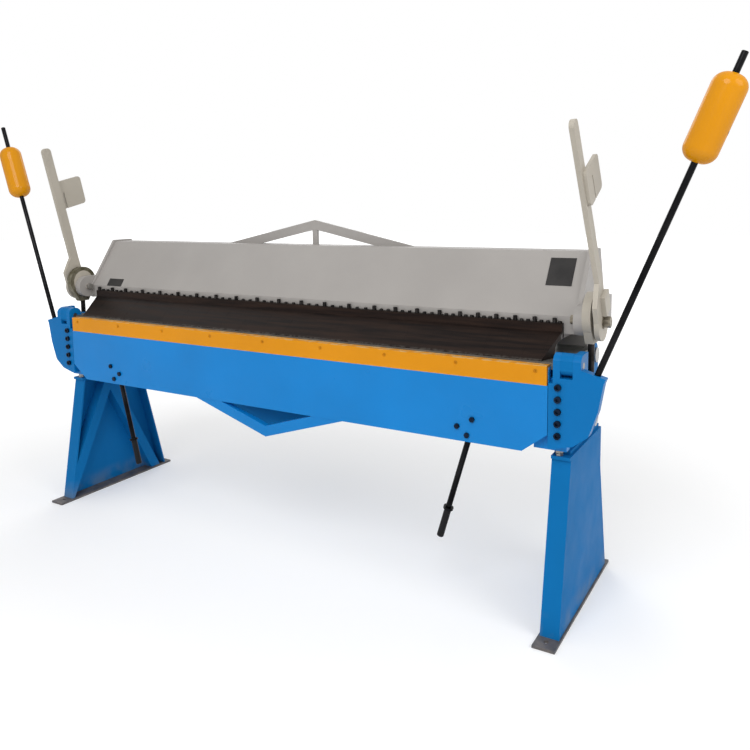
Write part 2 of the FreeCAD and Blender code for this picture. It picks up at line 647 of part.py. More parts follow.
def link_anchors():
    """Blocks on the end frames that hold the lower pins of the links."""
    half = ANCHOR_BLOCK / 2
    block = box(FRAME_OUTER_X, ANCHOR_BLOCK_END_X, SHAFT_Y - half, SHAFT_Y + half,
                LINK_PIN_Z - half, LINK_PIN_Z + half)
    hole = along_x(ANCHOR_BLOCK_END_X - LINK_PIN_SINK, ANCHOR_BLOCK_END_X + CUT, SHAFT_Y, LINK_PIN_Z,
                   LINK_PIN_R)
    return both_sides([block.cut(hole)])


def link_pins():
    """Headed pins pressed into the blocks; the eyes of the links hang on them with play."""
    head_x = LINK_ROD_X + LINK_EYE_WIDTH / 2 + LINK_EYE_GAP
    pin = along_x(ANCHOR_BLOCK_END_X - LINK_PIN_SINK, head_x, SHAFT_Y, LINK_PIN_Z, LINK_PIN_R)
    head = along_x(head_x, head_x + LINK_PIN_HEAD, SHAFT_Y, LINK_PIN_Z, LINK_PIN_HEAD_R)
    return both_sides([pin.fuse(head).removeSplitter()])


def frame_bolts():
    """Bolts of the end frames: into the bed, into the hinge brackets and through the leg caps."""
    bolts = []
    for y, z in BED_BOLTS:
        bolts.append(hex_bolt(V(FRAME_OUTER_X, y, z), V(1, 0, 0), FRAME_BOLT_R, FRAME_PLATE + BED_WALL,
                              FRAME_BOLT_HEAD, FRAME_BOLT_HEAD_HEIGHT))
    for y, z in KNUCKLE_BOLTS:
        bolts.append(hex_bolt(V(KNUCKLE_END_X, y, z), V(1, 0, 0), FRAME_BOLT_R,
                              KNUCKLE_END_X - BED_HALF, FRAME_BOLT_HEAD, FRAME_BOLT_HEAD_HEIGHT))
    for y in FLANGE_BOLTS_Y:
        bolts.append(hex_bolt(V(FLANGE_BOLT_X, y, LEG_TOP_Z + FRAME_FLANGE), V(0, 0, 1), FRAME_BOLT_R,
                              FRAME_FLANGE + LEG_CAP, FLANGE_BOLT_HEAD, FRAME_BOLT_HEAD_HEIGHT))
    return both_sides(bolts)


def wing_bolt_heights():
    """Heights of the wing bolts, from the top down."""
    top = BED_TOP_Z - WING_BOLT_DROP
    return [top - index * WING_BOLT_PITCH for index in range(WING_BOLT_COUNT)]


def strip_screw_places():
    """X places of the strip screws, evenly spaced between the two end screws."""
    first = STRIP_SCREW_END - STRIP_HALF
    pitch = -2 * first / (STRIP_SCREW_COUNT - 1)
    return [first + index * pitch for index in range(STRIP_SCREW_COUNT)]


def strip_screw_z():
    """Height of the strip screws."""
    return BED_TOP_Z - STRIP_SCREW_DROP


def bending_leaf():
    """Thick leaf plate with a rebate for the strip and chamfered lower corners."""
    top = STRIP_TOP_Z - STRIP_LIP
    outline = [(-LEAF_HALF, top), (LEAF_HALF, top), (LEAF_HALF, LEAF_BOTTOM_Z + LEAF_CHAMFER_Z),
               (LEAF_HALF - LEAF_CHAMFER_X, LEAF_BOTTOM_Z), (-LEAF_HALF + LEAF_CHAMFER_X, LEAF_BOTTOM_Z),
               (-LEAF_HALF, LEAF_BOTTOM_Z + LEAF_CHAMFER_Z)]
    leaf = front_plate(outline, 0, LEAF_THICKNESS)
    rebate = box(-LEAF_HALF - CUT, LEAF_HALF + CUT, -CUT, STRIP_THICKNESS,
                 STRIP_TOP_Z - STRIP_HEIGHT, BED_TOP_Z)
    leaf = leaf.cut(rebate)
    for x in strip_screw_places():
        leaf = leaf.cut(cylinder(V(x, 0, strip_screw_z()), V(0, 1, 0), STRIP_SCREW_R + BOLT_FIT,
                                 STRIP_SCREW_LENGTH + STRIP_SCREW_SINK))
    for x, z in BRACKET_BOLTS:
        for side in (-1, 1):
            leaf = leaf.cut(cylinder(V(side * x, -CUT, z), V(0, 1, 0), BRACKET_BOLT_R + BOLT_FIT,
                                     LEAF_THICKNESS + 2 * CUT))
    return [leaf]


def leaf_end_blocks():
    """Blocks that join the leaf to the wings."""
    block = box(BLOCK_X, BLOCK_END_X, BEND_Y, BEND_Y + BLOCK_DEPTH, BLOCK_BOTTOM_Z, BLOCK_TOP_Z)
    for z in wing_bolt_heights():
        block = block.cut(cylinder(V(WING_BOLT_X, 0, z), V(0, 1, 0), WING_BOLT_R + BOLT_FIT,
                                   BEND_Y + BLOCK_DEPTH - BLOCK_HOLE_END))
    return both_sides([block])


def hub(x0, x1):
    """Round hinge hub, cut flush with the front face of the leaf."""
    front = box(x0, x1, 0, BEND_Y + HUB_R, BED_TOP_Z - HUB_R, BED_TOP_Z + HUB_R)
    return along_x(x0, x1, BEND_Y, BED_TOP_Z, HUB_R).common(front)


def inner_ear():
    """Hinge ear next to the leaf, round behind so that it clears the bed."""
    ear = hub(INNER_EAR_X, KNUCKLE_X - SIDE_GAP)
    return ear.fuse(box(INNER_EAR_X, KNUCKLE_X - SIDE_GAP, 0, LEAF_THICKNESS, WING_SHELF_Z, BED_TOP_Z))


def outer_ear():
    """Deep outer hinge ear, rounded in front and square behind."""
    ear = hub(OUTER_EAR_X, OUTER_EAR_END_X)
    ear = ear.fuse(box(OUTER_EAR_X, OUTER_EAR_END_X, 0, OUTER_EAR_DEPTH, WING_SHELF_Z, BED_TOP_Z))
    return ear.fuse(box(OUTER_EAR_X, OUTER_EAR_END_X, BEND_Y, OUTER_EAR_DEPTH, BED_TOP_Z, BED_TOP_Z + HUB_R))


def wing():
    """Thick end plate with two hinge ears, a window for the knuckle and the rod socket."""
    steps = [(KNUCKLE_END_X + out, BED_TOP_Z - drop) for out, drop in WING_OUTLINE]
    outline = [(WING_INNER_X, WING_SHELF_Z), (OUTER_EAR_END_X, WING_SHELF_Z),
               (OUTER_EAR_END_X, BED_TOP_Z - WING_NECK_DROP)] + steps + [(WING_INNER_X, steps[-1][1])]
    plate = front_plate(outline, 0, LEAF_THICKNESS)
    out, drop = WING_ELBOW
    plate = rounded(plate, WING_CORNER_R, lambda edge: all(
        abs(vertex.X - KNUCKLE_END_X - out) < CUT and abs(vertex.Z - BED_TOP_Z + drop) < CUT
        for vertex in edge.Vertexes))
    window_z = BED_TOP_Z - HUB_R - EAR_ROOM
    plate = plate.fuse(inner_ear()).fuse(outer_ear())
    plate = plate.fuse(box(INNER_EAR_X, OUTER_EAR_END_X, 0, LEAF_THICKNESS, WING_SHELF_Z, window_z))
    plate = plate.cut(along_x(INNER_EAR_X - CUT, OUTER_EAR_END_X + CUT, BEND_Y, BED_TOP_Z,
                              PIN_R + RUN_FIT))
    for z in wing_bolt_heights():
        plate = plate.cut(cylinder(V(WING_BOLT_X, -CUT, z), V(0, 1, 0), WING_BOLT_R + BOLT_FIT,
                                   LEAF_THICKNESS + 2 * CUT))
    socket = cylinder(ROD_FOOT - ROD_LINE * ROD_SINK, ROD_LINE, ROD_R, 2 * ROD_SINK)
    return plate.cut(socket).removeSplitter()


def wing_bolts():
    """Socket-head bolts through the wings into the end blocks."""
    bolts = []
    length = BEND_Y + BLOCK_DEPTH - BLOCK_HOLE_END - WING_BOLT_END_GAP
    for z in wing_bolt_heights():
        shank = cylinder(V(WING_BOLT_X, 0, z), V(0, 1, 0), WING_BOLT_R, length)
        head = socket_head(V(WING_BOLT_X, 0, z), V(0, -1, 0), WING_BOLT_HEAD_R, WING_BOLT_HEAD,
                           WING_BOLT_SOCKET, WING_BOLT_SOCKET_DEPTH)
        bolts.append(head.fuse(shank).removeSplitter())
    return both_sides(bolts)


def leaf_truss():
    """V truss under the leaf, set back a little from its front face."""
    return [vee(LEAF_TRUSS_REACH, LEAF_TRUSS_DROP, TRUSS_WIDTH, LEAF_BOTTOM_Z, LEAF_TRUSS_SETBACK,
                TRUSS_DEPTH)]


def folding_strip():
    """Replaceable strip in the rebate, with a lip over the leaf edge and countersunk holes."""
    strip = box(-STRIP_HALF, STRIP_HALF, 0, STRIP_THICKNESS, STRIP_TOP_Z - STRIP_HEIGHT, STRIP_TOP_Z)
    strip = strip.fuse(box(-STRIP_HALF, STRIP_HALF, 0, LEAF_THICKNESS, STRIP_TOP_Z - STRIP_LIP, STRIP_TOP_Z))
    strip = strip.removeSplitter()
    sink = STRIP_SCREW_HEAD_R - STRIP_SCREW_R
    z = strip_screw_z()
    for x in strip_screw_places():
        strip = strip.cut(cylinder(V(x, -CUT, z), V(0, 1, 0), STRIP_SCREW_R + BOLT_FIT,
                                   STRIP_THICKNESS + 2 * CUT))
        strip = strip.cut(cylinder(V(x, -CUT, z), V(0, 1, 0), STRIP_SCREW_HEAD_R + BOLT_FIT,
                                   STRIP_SCREW_SINK + CUT))
        strip = strip.cut(Part.makeCone(STRIP_SCREW_HEAD_R + BOLT_FIT, STRIP_SCREW_R + BOLT_FIT, sink,
                                        V(x, STRIP_SCREW_SINK, z), V(0, 1, 0)))
    return [strip]


def strip_screws():
    """Countersunk screws with hexagon sockets."""
    screws = []
    sink = STRIP_SCREW_HEAD_R - STRIP_SCREW_R
    z = strip_screw_z()
    for x in strip_screw_places():
        head = Part.makeCone(STRIP_SCREW_HEAD_R, STRIP_SCREW_R, sink, V(x, STRIP_SCREW_SINK, z), V(0, 1, 0))
        shank = cylinder(V(x, STRIP_SCREW_SINK + sink, z), V(0, 1, 0), STRIP_SCREW_R,
                         STRIP_SCREW_LENGTH - sink - CUT)
        socket = prism(V(x, STRIP_SCREW_SINK + sink - CUT, z), V(0, -1, 0), STRIP_SCREW_SOCKET, sink)
        screws.append(head.fuse(shank).cut(socket).removeSplitter())
    return screws


def handle_line(ends):
    """Upper end, downward direction and length of a right-hand lift handle."""
    (top_out, top_drop), (end_out, end_drop) = ends
    top = V(HANDLE_X + top_out, HANDLE_Y, LEAF_BOTTOM_Z - top_drop)
    end = V(HANDLE_X + end_out, HANDLE_Y, LEAF_BOTTOM_Z - end_drop)
    line = (end - top).normalize()
    return top - line * HANDLE_ROOT_LENGTH, line, (end - top).Length + HANDLE_ROOT_LENGTH


def handle_bracket(ends):
    """Plate behind the leaf with a round socket for the lift handle."""
    low = min(z for x, z in BRACKET_BOLTS) - BRACKET_EDGE
    high = max(z for x, z in BRACKET_BOLTS) + BRACKET_EDGE
    left = min(x for x, z in BRACKET_BOLTS) - BRACKET_SIDE
    right = max(x for x, z in BRACKET_BOLTS) + BRACKET_SIDE
    plate = box(left, right, BEND_Y, BEND_Y + BRACKET_PLATE, low, high)
    root, line, length = handle_line(ends)
    socket = cylinder(root, line, BRACKET_SOCKET_R, BRACKET_SOCKET_LENGTH)
    bracket = plate.fuse(socket)
    bracket = bracket.cut(cylinder(root - line * CUT, line, HANDLE_R + BOLT_FIT, length))
    for x, z in BRACKET_BOLTS:
        bracket = bracket.cut(cylinder(V(x, BEND_Y - CUT, z), V(0, 1, 0), BRACKET_BOLT_R + BOLT_FIT,
                                       BRACKET_PLATE + 2 * CUT))
    return bracket.removeSplitter()


def handle_bolts():
    """Bolts through the leaf into the handle brackets."""
    bolts = []
    for x, z in BRACKET_BOLTS:
        bolts.append(hex_bolt(V(x, 0, z), V(0, -1, 0), BRACKET_BOLT_R, LEAF_THICKNESS + BRACKET_PLATE,
                              BRACKET_BOLT_HEAD, BRACKET_BOLT_HEAD_HEIGHT))
    return both_sides(bolts)


def handle_bar(ends):
    """Round bar of a lift handle with its collar."""
    root, line, length = handle_line(ends)
    grip_start = length - HANDLE_GRIP_LENGTH
    bar = cylinder(root, line, HANDLE_R, length - HANDLE_GRIP_END)
    collar = cylinder(root + line * (grip_start - HANDLE_COLLAR_LENGTH), line, HANDLE_COLLAR_R,
                      HANDLE_COLLAR_LENGTH)
    return bar.fuse(collar).removeSplitter()


def handle_grip(ends):
    """Grip over the lower end of a lift handle."""
    root, line, length = handle_line(ends)
    start = root + line * (length - HANDLE_GRIP_LENGTH)
    middle = start + line * (HANDLE_GRIP_LENGTH / 2)
    grip = cylinder(start, line, HANDLE_GRIP_R, HANDLE_GRIP_LENGTH)
    grip = rounded(grip, HANDLE_GRIP_ROUND, lambda edge: edge.Closed and edge.CenterOfMass.z < middle.z)
    return grip.cut(cylinder(start - line * CUT, line, HANDLE_R + BOLT_FIT,
                             HANDLE_GRIP_LENGTH - HANDLE_GRIP_END + CUT))


def handle_pair(piece):
    """A handle piece on the right and the same piece on the left, each at its own slant."""
    return [piece(RIGHT_HANDLE), mirrored(piece(LEFT_HANDLE))]


def weight_rod():
    """Slanting rod set into the top edge of the wing."""
    length = (ROD_TIP - ROD_FOOT).Length + ROD_SINK
    rod = cylinder(ROD_FOOT - ROD_LINE * ROD_SINK, ROD_LINE, ROD_R, length)
    return rod.makeChamfer(ROD_CHAMFER, [edge for edge in rod.Edges if edge.Closed
                                         and edge.CenterOfMass.distanceToPoint(ROD_TIP) < ROD_R])


def weight_side():
    """Direction of the set screw, square to the rod and to the right."""
    return V(ROD_LINE.z, 0, -ROD_LINE.x).normalize()


def counterweight(place):
    """Sliding weight with rounded ends, a bore for the rod and a set screw hole."""
    start = ROD_FOOT + ROD_LINE * (place - WEIGHT_LENGTH / 2)
    weight = cylinder(start, ROD_LINE, WEIGHT_R, WEIGHT_LENGTH)
    weight = rounded(weight, WEIGHT_FILLET, lambda edge: edge.Closed)
    weight = weight.cut(cylinder(start - ROD_LINE * CUT, ROD_LINE, ROD_R + SLIDE_FIT,
                                 WEIGHT_LENGTH + 2 * CUT))
    middle = ROD_FOOT + ROD_LINE * (place - WEIGHT_SCREW_DROP)
    hole = cylinder(middle, weight_side(), WEIGHT_SCREW_R, WEIGHT_R + CUT)
    return weight.cut(hole)


def weight_screw(place):
    """Set screw in the weight, sunk below its surface."""
    middle = ROD_FOOT + ROD_LINE * (place - WEIGHT_SCREW_DROP)
    start = middle + weight_side() * (ROD_R + SLIDE_FIT)
    length = WEIGHT_R - WEIGHT_SCREW_SINK - ROD_R
    screw = cylinder(start, weight_side(), WEIGHT_SCREW_R, length)
    socket = prism(start + weight_side() * (length - WEIGHT_SCREW_SOCKET_DEPTH), weight_side(),
                   WEIGHT_SCREW_SOCKET, WEIGHT_SCREW_SOCKET_DEPTH + CUT)
    return screw.cut(socket)


def slope_direction():
    """Unit vector up the front slope of the clamping beam."""
    return V(0, BEAM_TOP_Y - BEAM_FOOT_Y, BEAM_TOP_Z - BEAM_KNEE_Z).normalize()


def beam_front_plate():
    """Front plate: upright at the foot, then sloping back to the crest."""
    along = slope_direction()
    across = BEAM_PLATE / along.z
    knee_shift = BEAM_PLATE * math.tan(math.asin(along.y) / 2)
    outline = [(BEAM_FOOT_Y, BEAM_FLOOR_Z + BEAM_FLOOR), (BEAM_FOOT_Y, BEAM_KNEE_Z),
               (BEAM_TOP_Y, BEAM_TOP_Z), (BEAM_TOP_Y + across, BEAM_TOP_Z),
               (BEAM_FOOT_Y + BEAM_PLATE, BEAM_KNEE_Z - knee_shift),
               (BEAM_FOOT_Y + BEAM_PLATE, BEAM_FLOOR_Z + BEAM_FLOOR)]
    return [side_plate(outline, -BEAM_HALF, BEAM_HALF)]


def beam_back_line():
    """Unit vector up the rear slope of the clamping beam."""
    return V(0, BEAM_CREST_Y - BEAM_BACK_Y, BEAM_TOP_Z - BEAM_BACK_Z).normalize()


def beam_back_plate():
    """Rear plate, upright below and leaning forward to the crest, folded over the top."""
    line = beam_back_line()
    across = BEAM_PLATE / line.z
    knee_shift = BEAM_PLATE * math.tan(math.asin(-line.y) / 2)
    low_z = BEAM_TOP_Z - BEAM_PLATE
    outline = [(BEAM_BACK_Y, BEAM_FLOOR_Z + BEAM_FLOOR), (BEAM_BACK_Y, BEAM_BACK_Z),
               (BEAM_CREST_Y, BEAM_TOP_Z), (BEAM_TOP_Y, BEAM_TOP_Z), (BEAM_TOP_Y, low_z),
               (BEAM_CREST_Y - across - line.y / line.z * BEAM_PLATE, low_z),
               (BEAM_BACK_Y - BEAM_PLATE, BEAM_BACK_Z - knee_shift),
               (BEAM_BACK_Y - BEAM_PLATE, BEAM_FLOOR_Z + BEAM_FLOOR)]
    return [side_plate(outline, -BEAM_HALF, BEAM_HALF).cut(beam_front_plate()[0])]


def beam_bottom_plate():
    """Floor plate of the beam, which the finger tongues bear on."""
    return [box(-BEAM_HALF, BEAM_HALF, BEAM_FOOT_Y, BEAM_BACK_Y, BEAM_FLOOR_Z, BEAM_FLOOR_Z + BEAM_FLOOR)]


def beam_end():
    """End plate of the beam with the thick arm and round ear for the clamping shaft."""
    lip = BEAM_END_LIP
    outline = [(BEAM_FOOT_Y - lip, BEAM_FLOOR_Z), (BEAM_FOOT_Y - lip, BEAM_KNEE_Z + lip / 2),
               (BEAM_TOP_Y - lip, BEAM_TOP_Z + lip), (BEAM_CREST_Y + lip, BEAM_TOP_Z + lip),
               (BEAM_BACK_Y + lip, BEAM_BACK_Z), (BEAM_BACK_Y + lip, BEAM_FLOOR_Z)]
    plate = side_plate(outline, BEAM_HALF, BEAM_HALF + BEAM_END_PLATE)
    plate = rounded(plate, BEAM_END_ROUND, lambda edge: all(v.Z > BEAM_TOP_Z for v in edge.Vertexes)
                    and edge.BoundBox.XLength > BEAM_END_PLATE / 2)
    arm = box(EAR_X, EAR_END_X, SHAFT_Y, BEAM_BACK_Y + lip, SHAFT_Z - EAR_R, SHAFT_Z + EAR_R)
    ear = along_x(EAR_X, EAR_END_X, SHAFT_Y, SHAFT_Z, EAR_R)
    bore = along_x(BEAM_HALF - CUT, EAR_END_X + CUT, SHAFT_Y, SHAFT_Z, SHAFT_R + RUN_FIT)
    return plate.fuse(arm).fuse(ear).cut(bore).removeSplitter()


def pivot_arms():
    """Rear arms of the beam that go down behind the bed to the pivot pins."""
    x0 = PIVOT_ARM_X
    x1 = x0 + PIVOT_ARM_WIDTH
    half = PIVOT_ARM_LUG_R
    arm = box(x0, x1, PIVOT_Y - half, PIVOT_Y + half, PIVOT_Z, BEAM_FLOOR_Z)
    arm = arm.fuse(along_x(x0, x1, PIVOT_Y, PIVOT_Z, half))
    flange = box(x1 - PIVOT_ARM_FLANGE, x1, PIVOT_Y - half, PIVOT_Y - half + PIVOT_ARM_FLANGE_PLATE,
                 BEAM_FLOOR_Z - PIVOT_ARM_FLANGE_DROP, BEAM_FLOOR_Z)
    arm = arm.fuse(flange)
    bore = along_x(x0 - CUT, x1 + CUT, PIVOT_Y, PIVOT_Z, PIVOT_R + RUN_FIT)
    return both_sides([arm.cut(bore).removeSplitter()])


def beam_truss():
    """V truss on the top of the beam with a centre strut."""
    low_z = BEAM_TOP_Z
    apex_z = low_z + BEAM_TRUSS_RISE
    slope = math.atan2(BEAM_TRUSS_RISE, BEAM_TRUSS_REACH)
    inner_z = apex_z - BEAM_TRUSS_WIDTH / math.cos(slope)
    inner_reach = BEAM_TRUSS_REACH * (inner_z - low_z) / BEAM_TRUSS_RISE
    outline = [(-BEAM_TRUSS_REACH, low_z), (0, apex_z), (BEAM_TRUSS_REACH, low_z),
               (inner_reach, low_z), (0, inner_z), (-inner_reach, low_z)]
    front = BEAM_FOOT_Y + BEAM_TRUSS_SETBACK
    rear = front + BEAM_TRUSS_PLATE
    truss = front_plate(outline, front, rear)
    strut = box(-BEAM_STRUT_WIDTH / 2, BEAM_STRUT_WIDTH / 2, front, rear, low_z, inner_z)
    return [truss.fuse(strut).removeSplitter()]


def finger_outline():
    """Side outline of a finger: sole, nose, slope, step for the clamp bar and tongue."""
    nose_top = FINGER_FLOOR_Z + FINGER_NOSE_HEIGHT
    return [(FINGER_NOSE_Y, FINGER_FLOOR_Z), (FINGER_NOSE_Y, nose_top),
            (FINGER_FACE_Y, nose_top + FINGER_RISE), (FINGER_FACE_Y, BEAM_FLOOR_Z),
            (BEAM_FOOT_Y, BEAM_FLOOR_Z), (BEAM_FOOT_Y, TONGUE_BOTTOM_Z),
            *FINGER_THROAT, (FINGER_HEEL_Y, FINGER_FLOOR_Z)]


def finger_places():
    """Left edge and width of each finger."""
    places = []
    left = -WORK_HALF
    for width in FINGER_ROW:
        places.append((left, width))
        left += width
    return places


def finger_bolt_places():
    """X of the tall bolt of each finger, near its left edge."""
    return [left + FINGER_BOLT_EDGE for left, width in finger_places()]


def clamp_screw_places():
    """X of the low screws: two to a finger at thirds of its width, one on the end finger."""
    places = []
    for left, width in finger_places():
        if width == END_FINGER:
            places.append(left + width - FINGER_BOLT_EDGE)
            continue
        for third in (1, 2):
            places.append(left + FINGER_BOLT_EDGE + third * width / 3)
    return places


def finger(left, width):
    """One finger with a blind hole in its tongue for its bolt; the outermost ones are tapered."""
    body = side_plate(finger_outline(), left + FINGER_GAP / 2, left + width - FINGER_GAP / 2)
    ends = {-1: left, 1: left + width}
    for side in (-1, 1):
        if abs(ends[side] - side * WORK_HALF) > FINGER_GAP:
            continue
        outer = side * (WORK_HALF + CUT)
        inner = side * (WORK_HALF - FINGER_TAPER)
        wedge = Part.makePolygon([V(outer, FINGER_NOSE_Y - CUT, 0), V(inner, FINGER_NOSE_Y - CUT, 0),
                                  V(outer, FINGER_FACE_Y, 0), V(outer, FINGER_NOSE_Y - CUT, 0)])
        body = body.cut(Part.Face(wedge).extrude(V(0, 0, CLAMP_BAR_TOP_Z)))
    hole = cylinder(V(left + FINGER_BOLT_EDGE, FINGER_BOLT_Y, BEAM_FLOOR_Z - FINGER_BOLT_SINK), V(0, 0, 1),
                    FINGER_BOLT_R + BOLT_FIT, FINGER_BOLT_SINK + CUT)
    return body.cut(hole)


def fingers(widths):
    """All fingers whose width is one of those named."""
    return [finger(left, width) for left, width in finger_places() if width in widths]


def finger_clamp_bar():
    """Bar in front of the beam that holds the fingers down, and the backing strip behind them."""
    bar = box(-CLAMP_BAR_HALF, CLAMP_BAR_HALF, FINGER_FACE_Y, BEAM_FOOT_Y, BEAM_FLOOR_Z, CLAMP_BAR_TOP_Z)
    holes = []
    for x in finger_bolt_places():
        holes.append(cylinder(V(x, FINGER_BOLT_Y, BEAM_FLOOR_Z - CUT), V(0, 0, 1),
                              FINGER_BOLT_R + BOLT_FIT, CLAMP_BAR_HEIGHT + 2 * CUT))
    for x in clamp_screw_places():
        holes.append(cylinder(V(x, FINGER_BOLT_Y, CLAMP_BAR_TOP_Z - CLAMP_SCREW_LENGTH), V(0, 0, 1),
                              CLAMP_SCREW_R + BOLT_FIT, CLAMP_SCREW_LENGTH + CUT))
    backing = box(-CLAMP_BAR_HALF, CLAMP_BAR_HALF, BEAM_FOOT_Y, BEAM_FOOT_Y + FINGER_BACKING,
                  TONGUE_BOTTOM_Z, BEAM_FLOOR_Z)
    return [bar.cut(Part.makeCompound(holes)), backing]


def finger_bolts():
    """Tall socket-head bolts, one to a finger."""
    bolts = []
    length = CLAMP_BAR_HEIGHT + FINGER_BOLT_SINK - BLIND_END
    for x in finger_bolt_places():
        seat = V(x, FINGER_BOLT_Y, CLAMP_BAR_TOP_Z)
        shank = cylinder(seat - V(0, 0, length), V(0, 0, 1), FINGER_BOLT_R, length)
        head = socket_head(seat, V(0, 0, 1), FINGER_BOLT_HEAD_R, FINGER_BOLT_HEAD,
                           FINGER_BOLT_SOCKET, FINGER_BOLT_SOCKET)
        bolts.append(head.fuse(shank).removeSplitter())
    return bolts


def clamp_screws():
    """Low round-head screws of the clamp bar."""
    screws = []
    length = CLAMP_SCREW_LENGTH - BLIND_END
    for x in clamp_screw_places():
        seat = V(x, FINGER_BOLT_Y, CLAMP_BAR_TOP_Z)
        shank = cylinder(seat - V(0, 0, length), V(0, 0, 1), CLAMP_SCREW_R, length)
        head = cylinder(seat, V(0, 0, 1), CLAMP_SCREW_HEAD_R, CLAMP_SCREW_HEAD)
        head = rounded(head, CLAMP_SCREW_ROUND,
                       lambda edge: edge.Closed and edge.CenterOfMass.z > CLAMP_BAR_TOP_Z + CUT)
        screws.append(head.fuse(shank).removeSplitter())
    return screws


def blank_plates():
    """Two bare plates on the front slope of the beam."""
    along = slope_direction()
    outward = V(0, -along.z, along.y)
    plates = []
    for side, (inner, outer, low, high) in ((-1, LEFT_BLANK), (1, RIGHT_BLANK)):
        corner = V(side * (BEAM_HALF - inner), BEAM_FOOT_Y, BEAM_KNEE_Z) + along * low
        wide = V(side * (inner - outer), 0, 0)
        up = along * (high - low)
        points = [corner, corner + wide, corner + wide + up, corner + up, corner]
        plates.append(Part.Face(Part.makePolygon(points)).extrude(outward * BLANK_THICKNESS))
    return plates


def bent_inward(shape):
    """Lean a lever piece inward above the bend, about a line across the bar."""
    turned = shape.copy()
    turned.rotate(V(LEVER_X, SHAFT_Y, SHAFT_Z + LEVER_BEND_AT), V(0, 1, 0), -LEVER_LEAN_IN)
    return turned


def lever_block(x0, x1, v0, v1, u0, u1):
    """Block in lever directions: v to the rear and u up from the shaft."""
    return box(x0, x1, SHAFT_Y + v0, SHAFT_Y + v1, SHAFT_Z + u0, SHAFT_Z + u1)


def lever(lean):
    """Right-hand clamping lever: round hub, wide foot, bar bent inward above it and outer boss."""
    v0 = LEVER_OFFSET - LEVER_WIDTH / 2
    v1 = LEVER_OFFSET + LEVER_WIDTH / 2
    hub = along_x(LEVER_X, LEVER_OUTER_X, SHAFT_Y, SHAFT_Z, LEVER_HUB_R)
    outline = LEVER_FOOT + [(v0, LEVER_BEND_AT), (v1, LEVER_BEND_AT), (v1, 0)]
    foot = side_plate([(SHAFT_Y + v, SHAFT_Z + u) for v, u in outline], LEVER_X, LEVER_OUTER_X)
    bar = lever_block(LEVER_X, LEVER_OUTER_X, v0, v1, LEVER_BEND_AT, LEVER_LENGTH)
    top_z = SHAFT_Z + LEVER_LENGTH - CUT
    bar = rounded(bar, LEVER_END_R, lambda edge: all(v.Z > top_z for v in edge.Vertexes)
                  and edge.BoundBox.XLength > LEVER_PLATE / 2)
    low, high, half = LEVER_BOSS
    boss = lever_block(LEVER_OUTER_X, LEVER_OUTER_X + LEVER_BOSS_PLATE, LEVER_OFFSET - half,
                       LEVER_OFFSET + half, low, high)
    joint = lever_block(LEVER_X, LEVER_OUTER_X, v0, v1, LEVER_BEND_AT - LEVER_BEND_JOIN,
                        LEVER_BEND_AT + LEVER_BEND_JOIN)
    whole = hub.fuse(foot).fuse(bent_inward(bar)).fuse(boss).fuse(bent_inward(joint).common(joint))
    room = along_x(LEVER_X - CUT, LEVER_OUTER_X + LEVER_BOSS_PLATE + CUT, SHAFT_Y, SHAFT_Z,
                   SHAFT_R + BOLT_FIT)
    whole = whole.cut(room).removeSplitter()
    whole.rotate(V(0, SHAFT_Y, SHAFT_Z), V(1, 0, 0), lean)
    return whole


def lever_pad(lean, shape):
    """Slotted plate on the outer face of the right-hand lever."""
    low_drop, high_drop, out = shape
    bottom = LEVER_LENGTH - low_drop
    top = LEVER_LENGTH - high_drop
    pad = lever_block(LEVER_OUTER_X, LEVER_OUTER_X + PAD_PLATE, PAD_IN, out, bottom, top)
    pad = rounded(pad, PAD_CORNER_R, lambda edge: edge.BoundBox.XLength > PAD_PLATE / 2)
    x0 = LEVER_OUTER_X - CUT
    x1 = LEVER_OUTER_X + PAD_PLATE + CUT
    slot = lever_block(x0, x1, PAD_SLOT_AT, PAD_SLOT_AT + PAD_SLOT_WIDTH, bottom - CUT,
                       bottom + PAD_SLOT_LENGTH)
    slot = slot.fuse(along_x(x0, x1, SHAFT_Y + PAD_SLOT_AT + PAD_SLOT_WIDTH / 2,
                             SHAFT_Z + bottom + PAD_SLOT_LENGTH, PAD_SLOT_WIDTH / 2))
    pad = bent_inward(pad.cut(slot))
    pad.rotate(V(0, SHAFT_Y, SHAFT_Z), V(1, 0, 0), lean)
    return pad


def eccentric():
    """Shaft through ear and lever hub with the eccentric disc and a collar between them."""
    whole = along_x(EAR_X - SHAFT_WASHER, LEVER_OUTER_X, SHAFT_Y, SHAFT_Z, SHAFT_R)
    whole = whole.fuse(along_x(EAR_END_X + SIDE_GAP, LINK_HEAD_X, SHAFT_Y, SHAFT_Z, COLLAR_R))
    whole = whole.fuse(along_x(LINK_HEAD_X, LINK_HEAD_END_X, SHAFT_Y, ECCENTRIC_Z, ECCENTRIC_R))
    whole = whole.fuse(along_x(LINK_HEAD_END_X, LEVER_X, SHAFT_Y, SHAFT_Z, COLLAR_R))
    for x0, x1 in ((LEVER_OUTER_X - SHAFT_BOLT_SINK, LEVER_OUTER_X + CUT),
                   (EAR_X - SHAFT_WASHER - CUT, EAR_X + SHAFT_BOLT_SINK)):
        whole = whole.cut(along_x(x0, x1, SHAFT_Y, SHAFT_Z, SHAFT_BOLT_R + BOLT_FIT))
    return whole.removeSplitter()


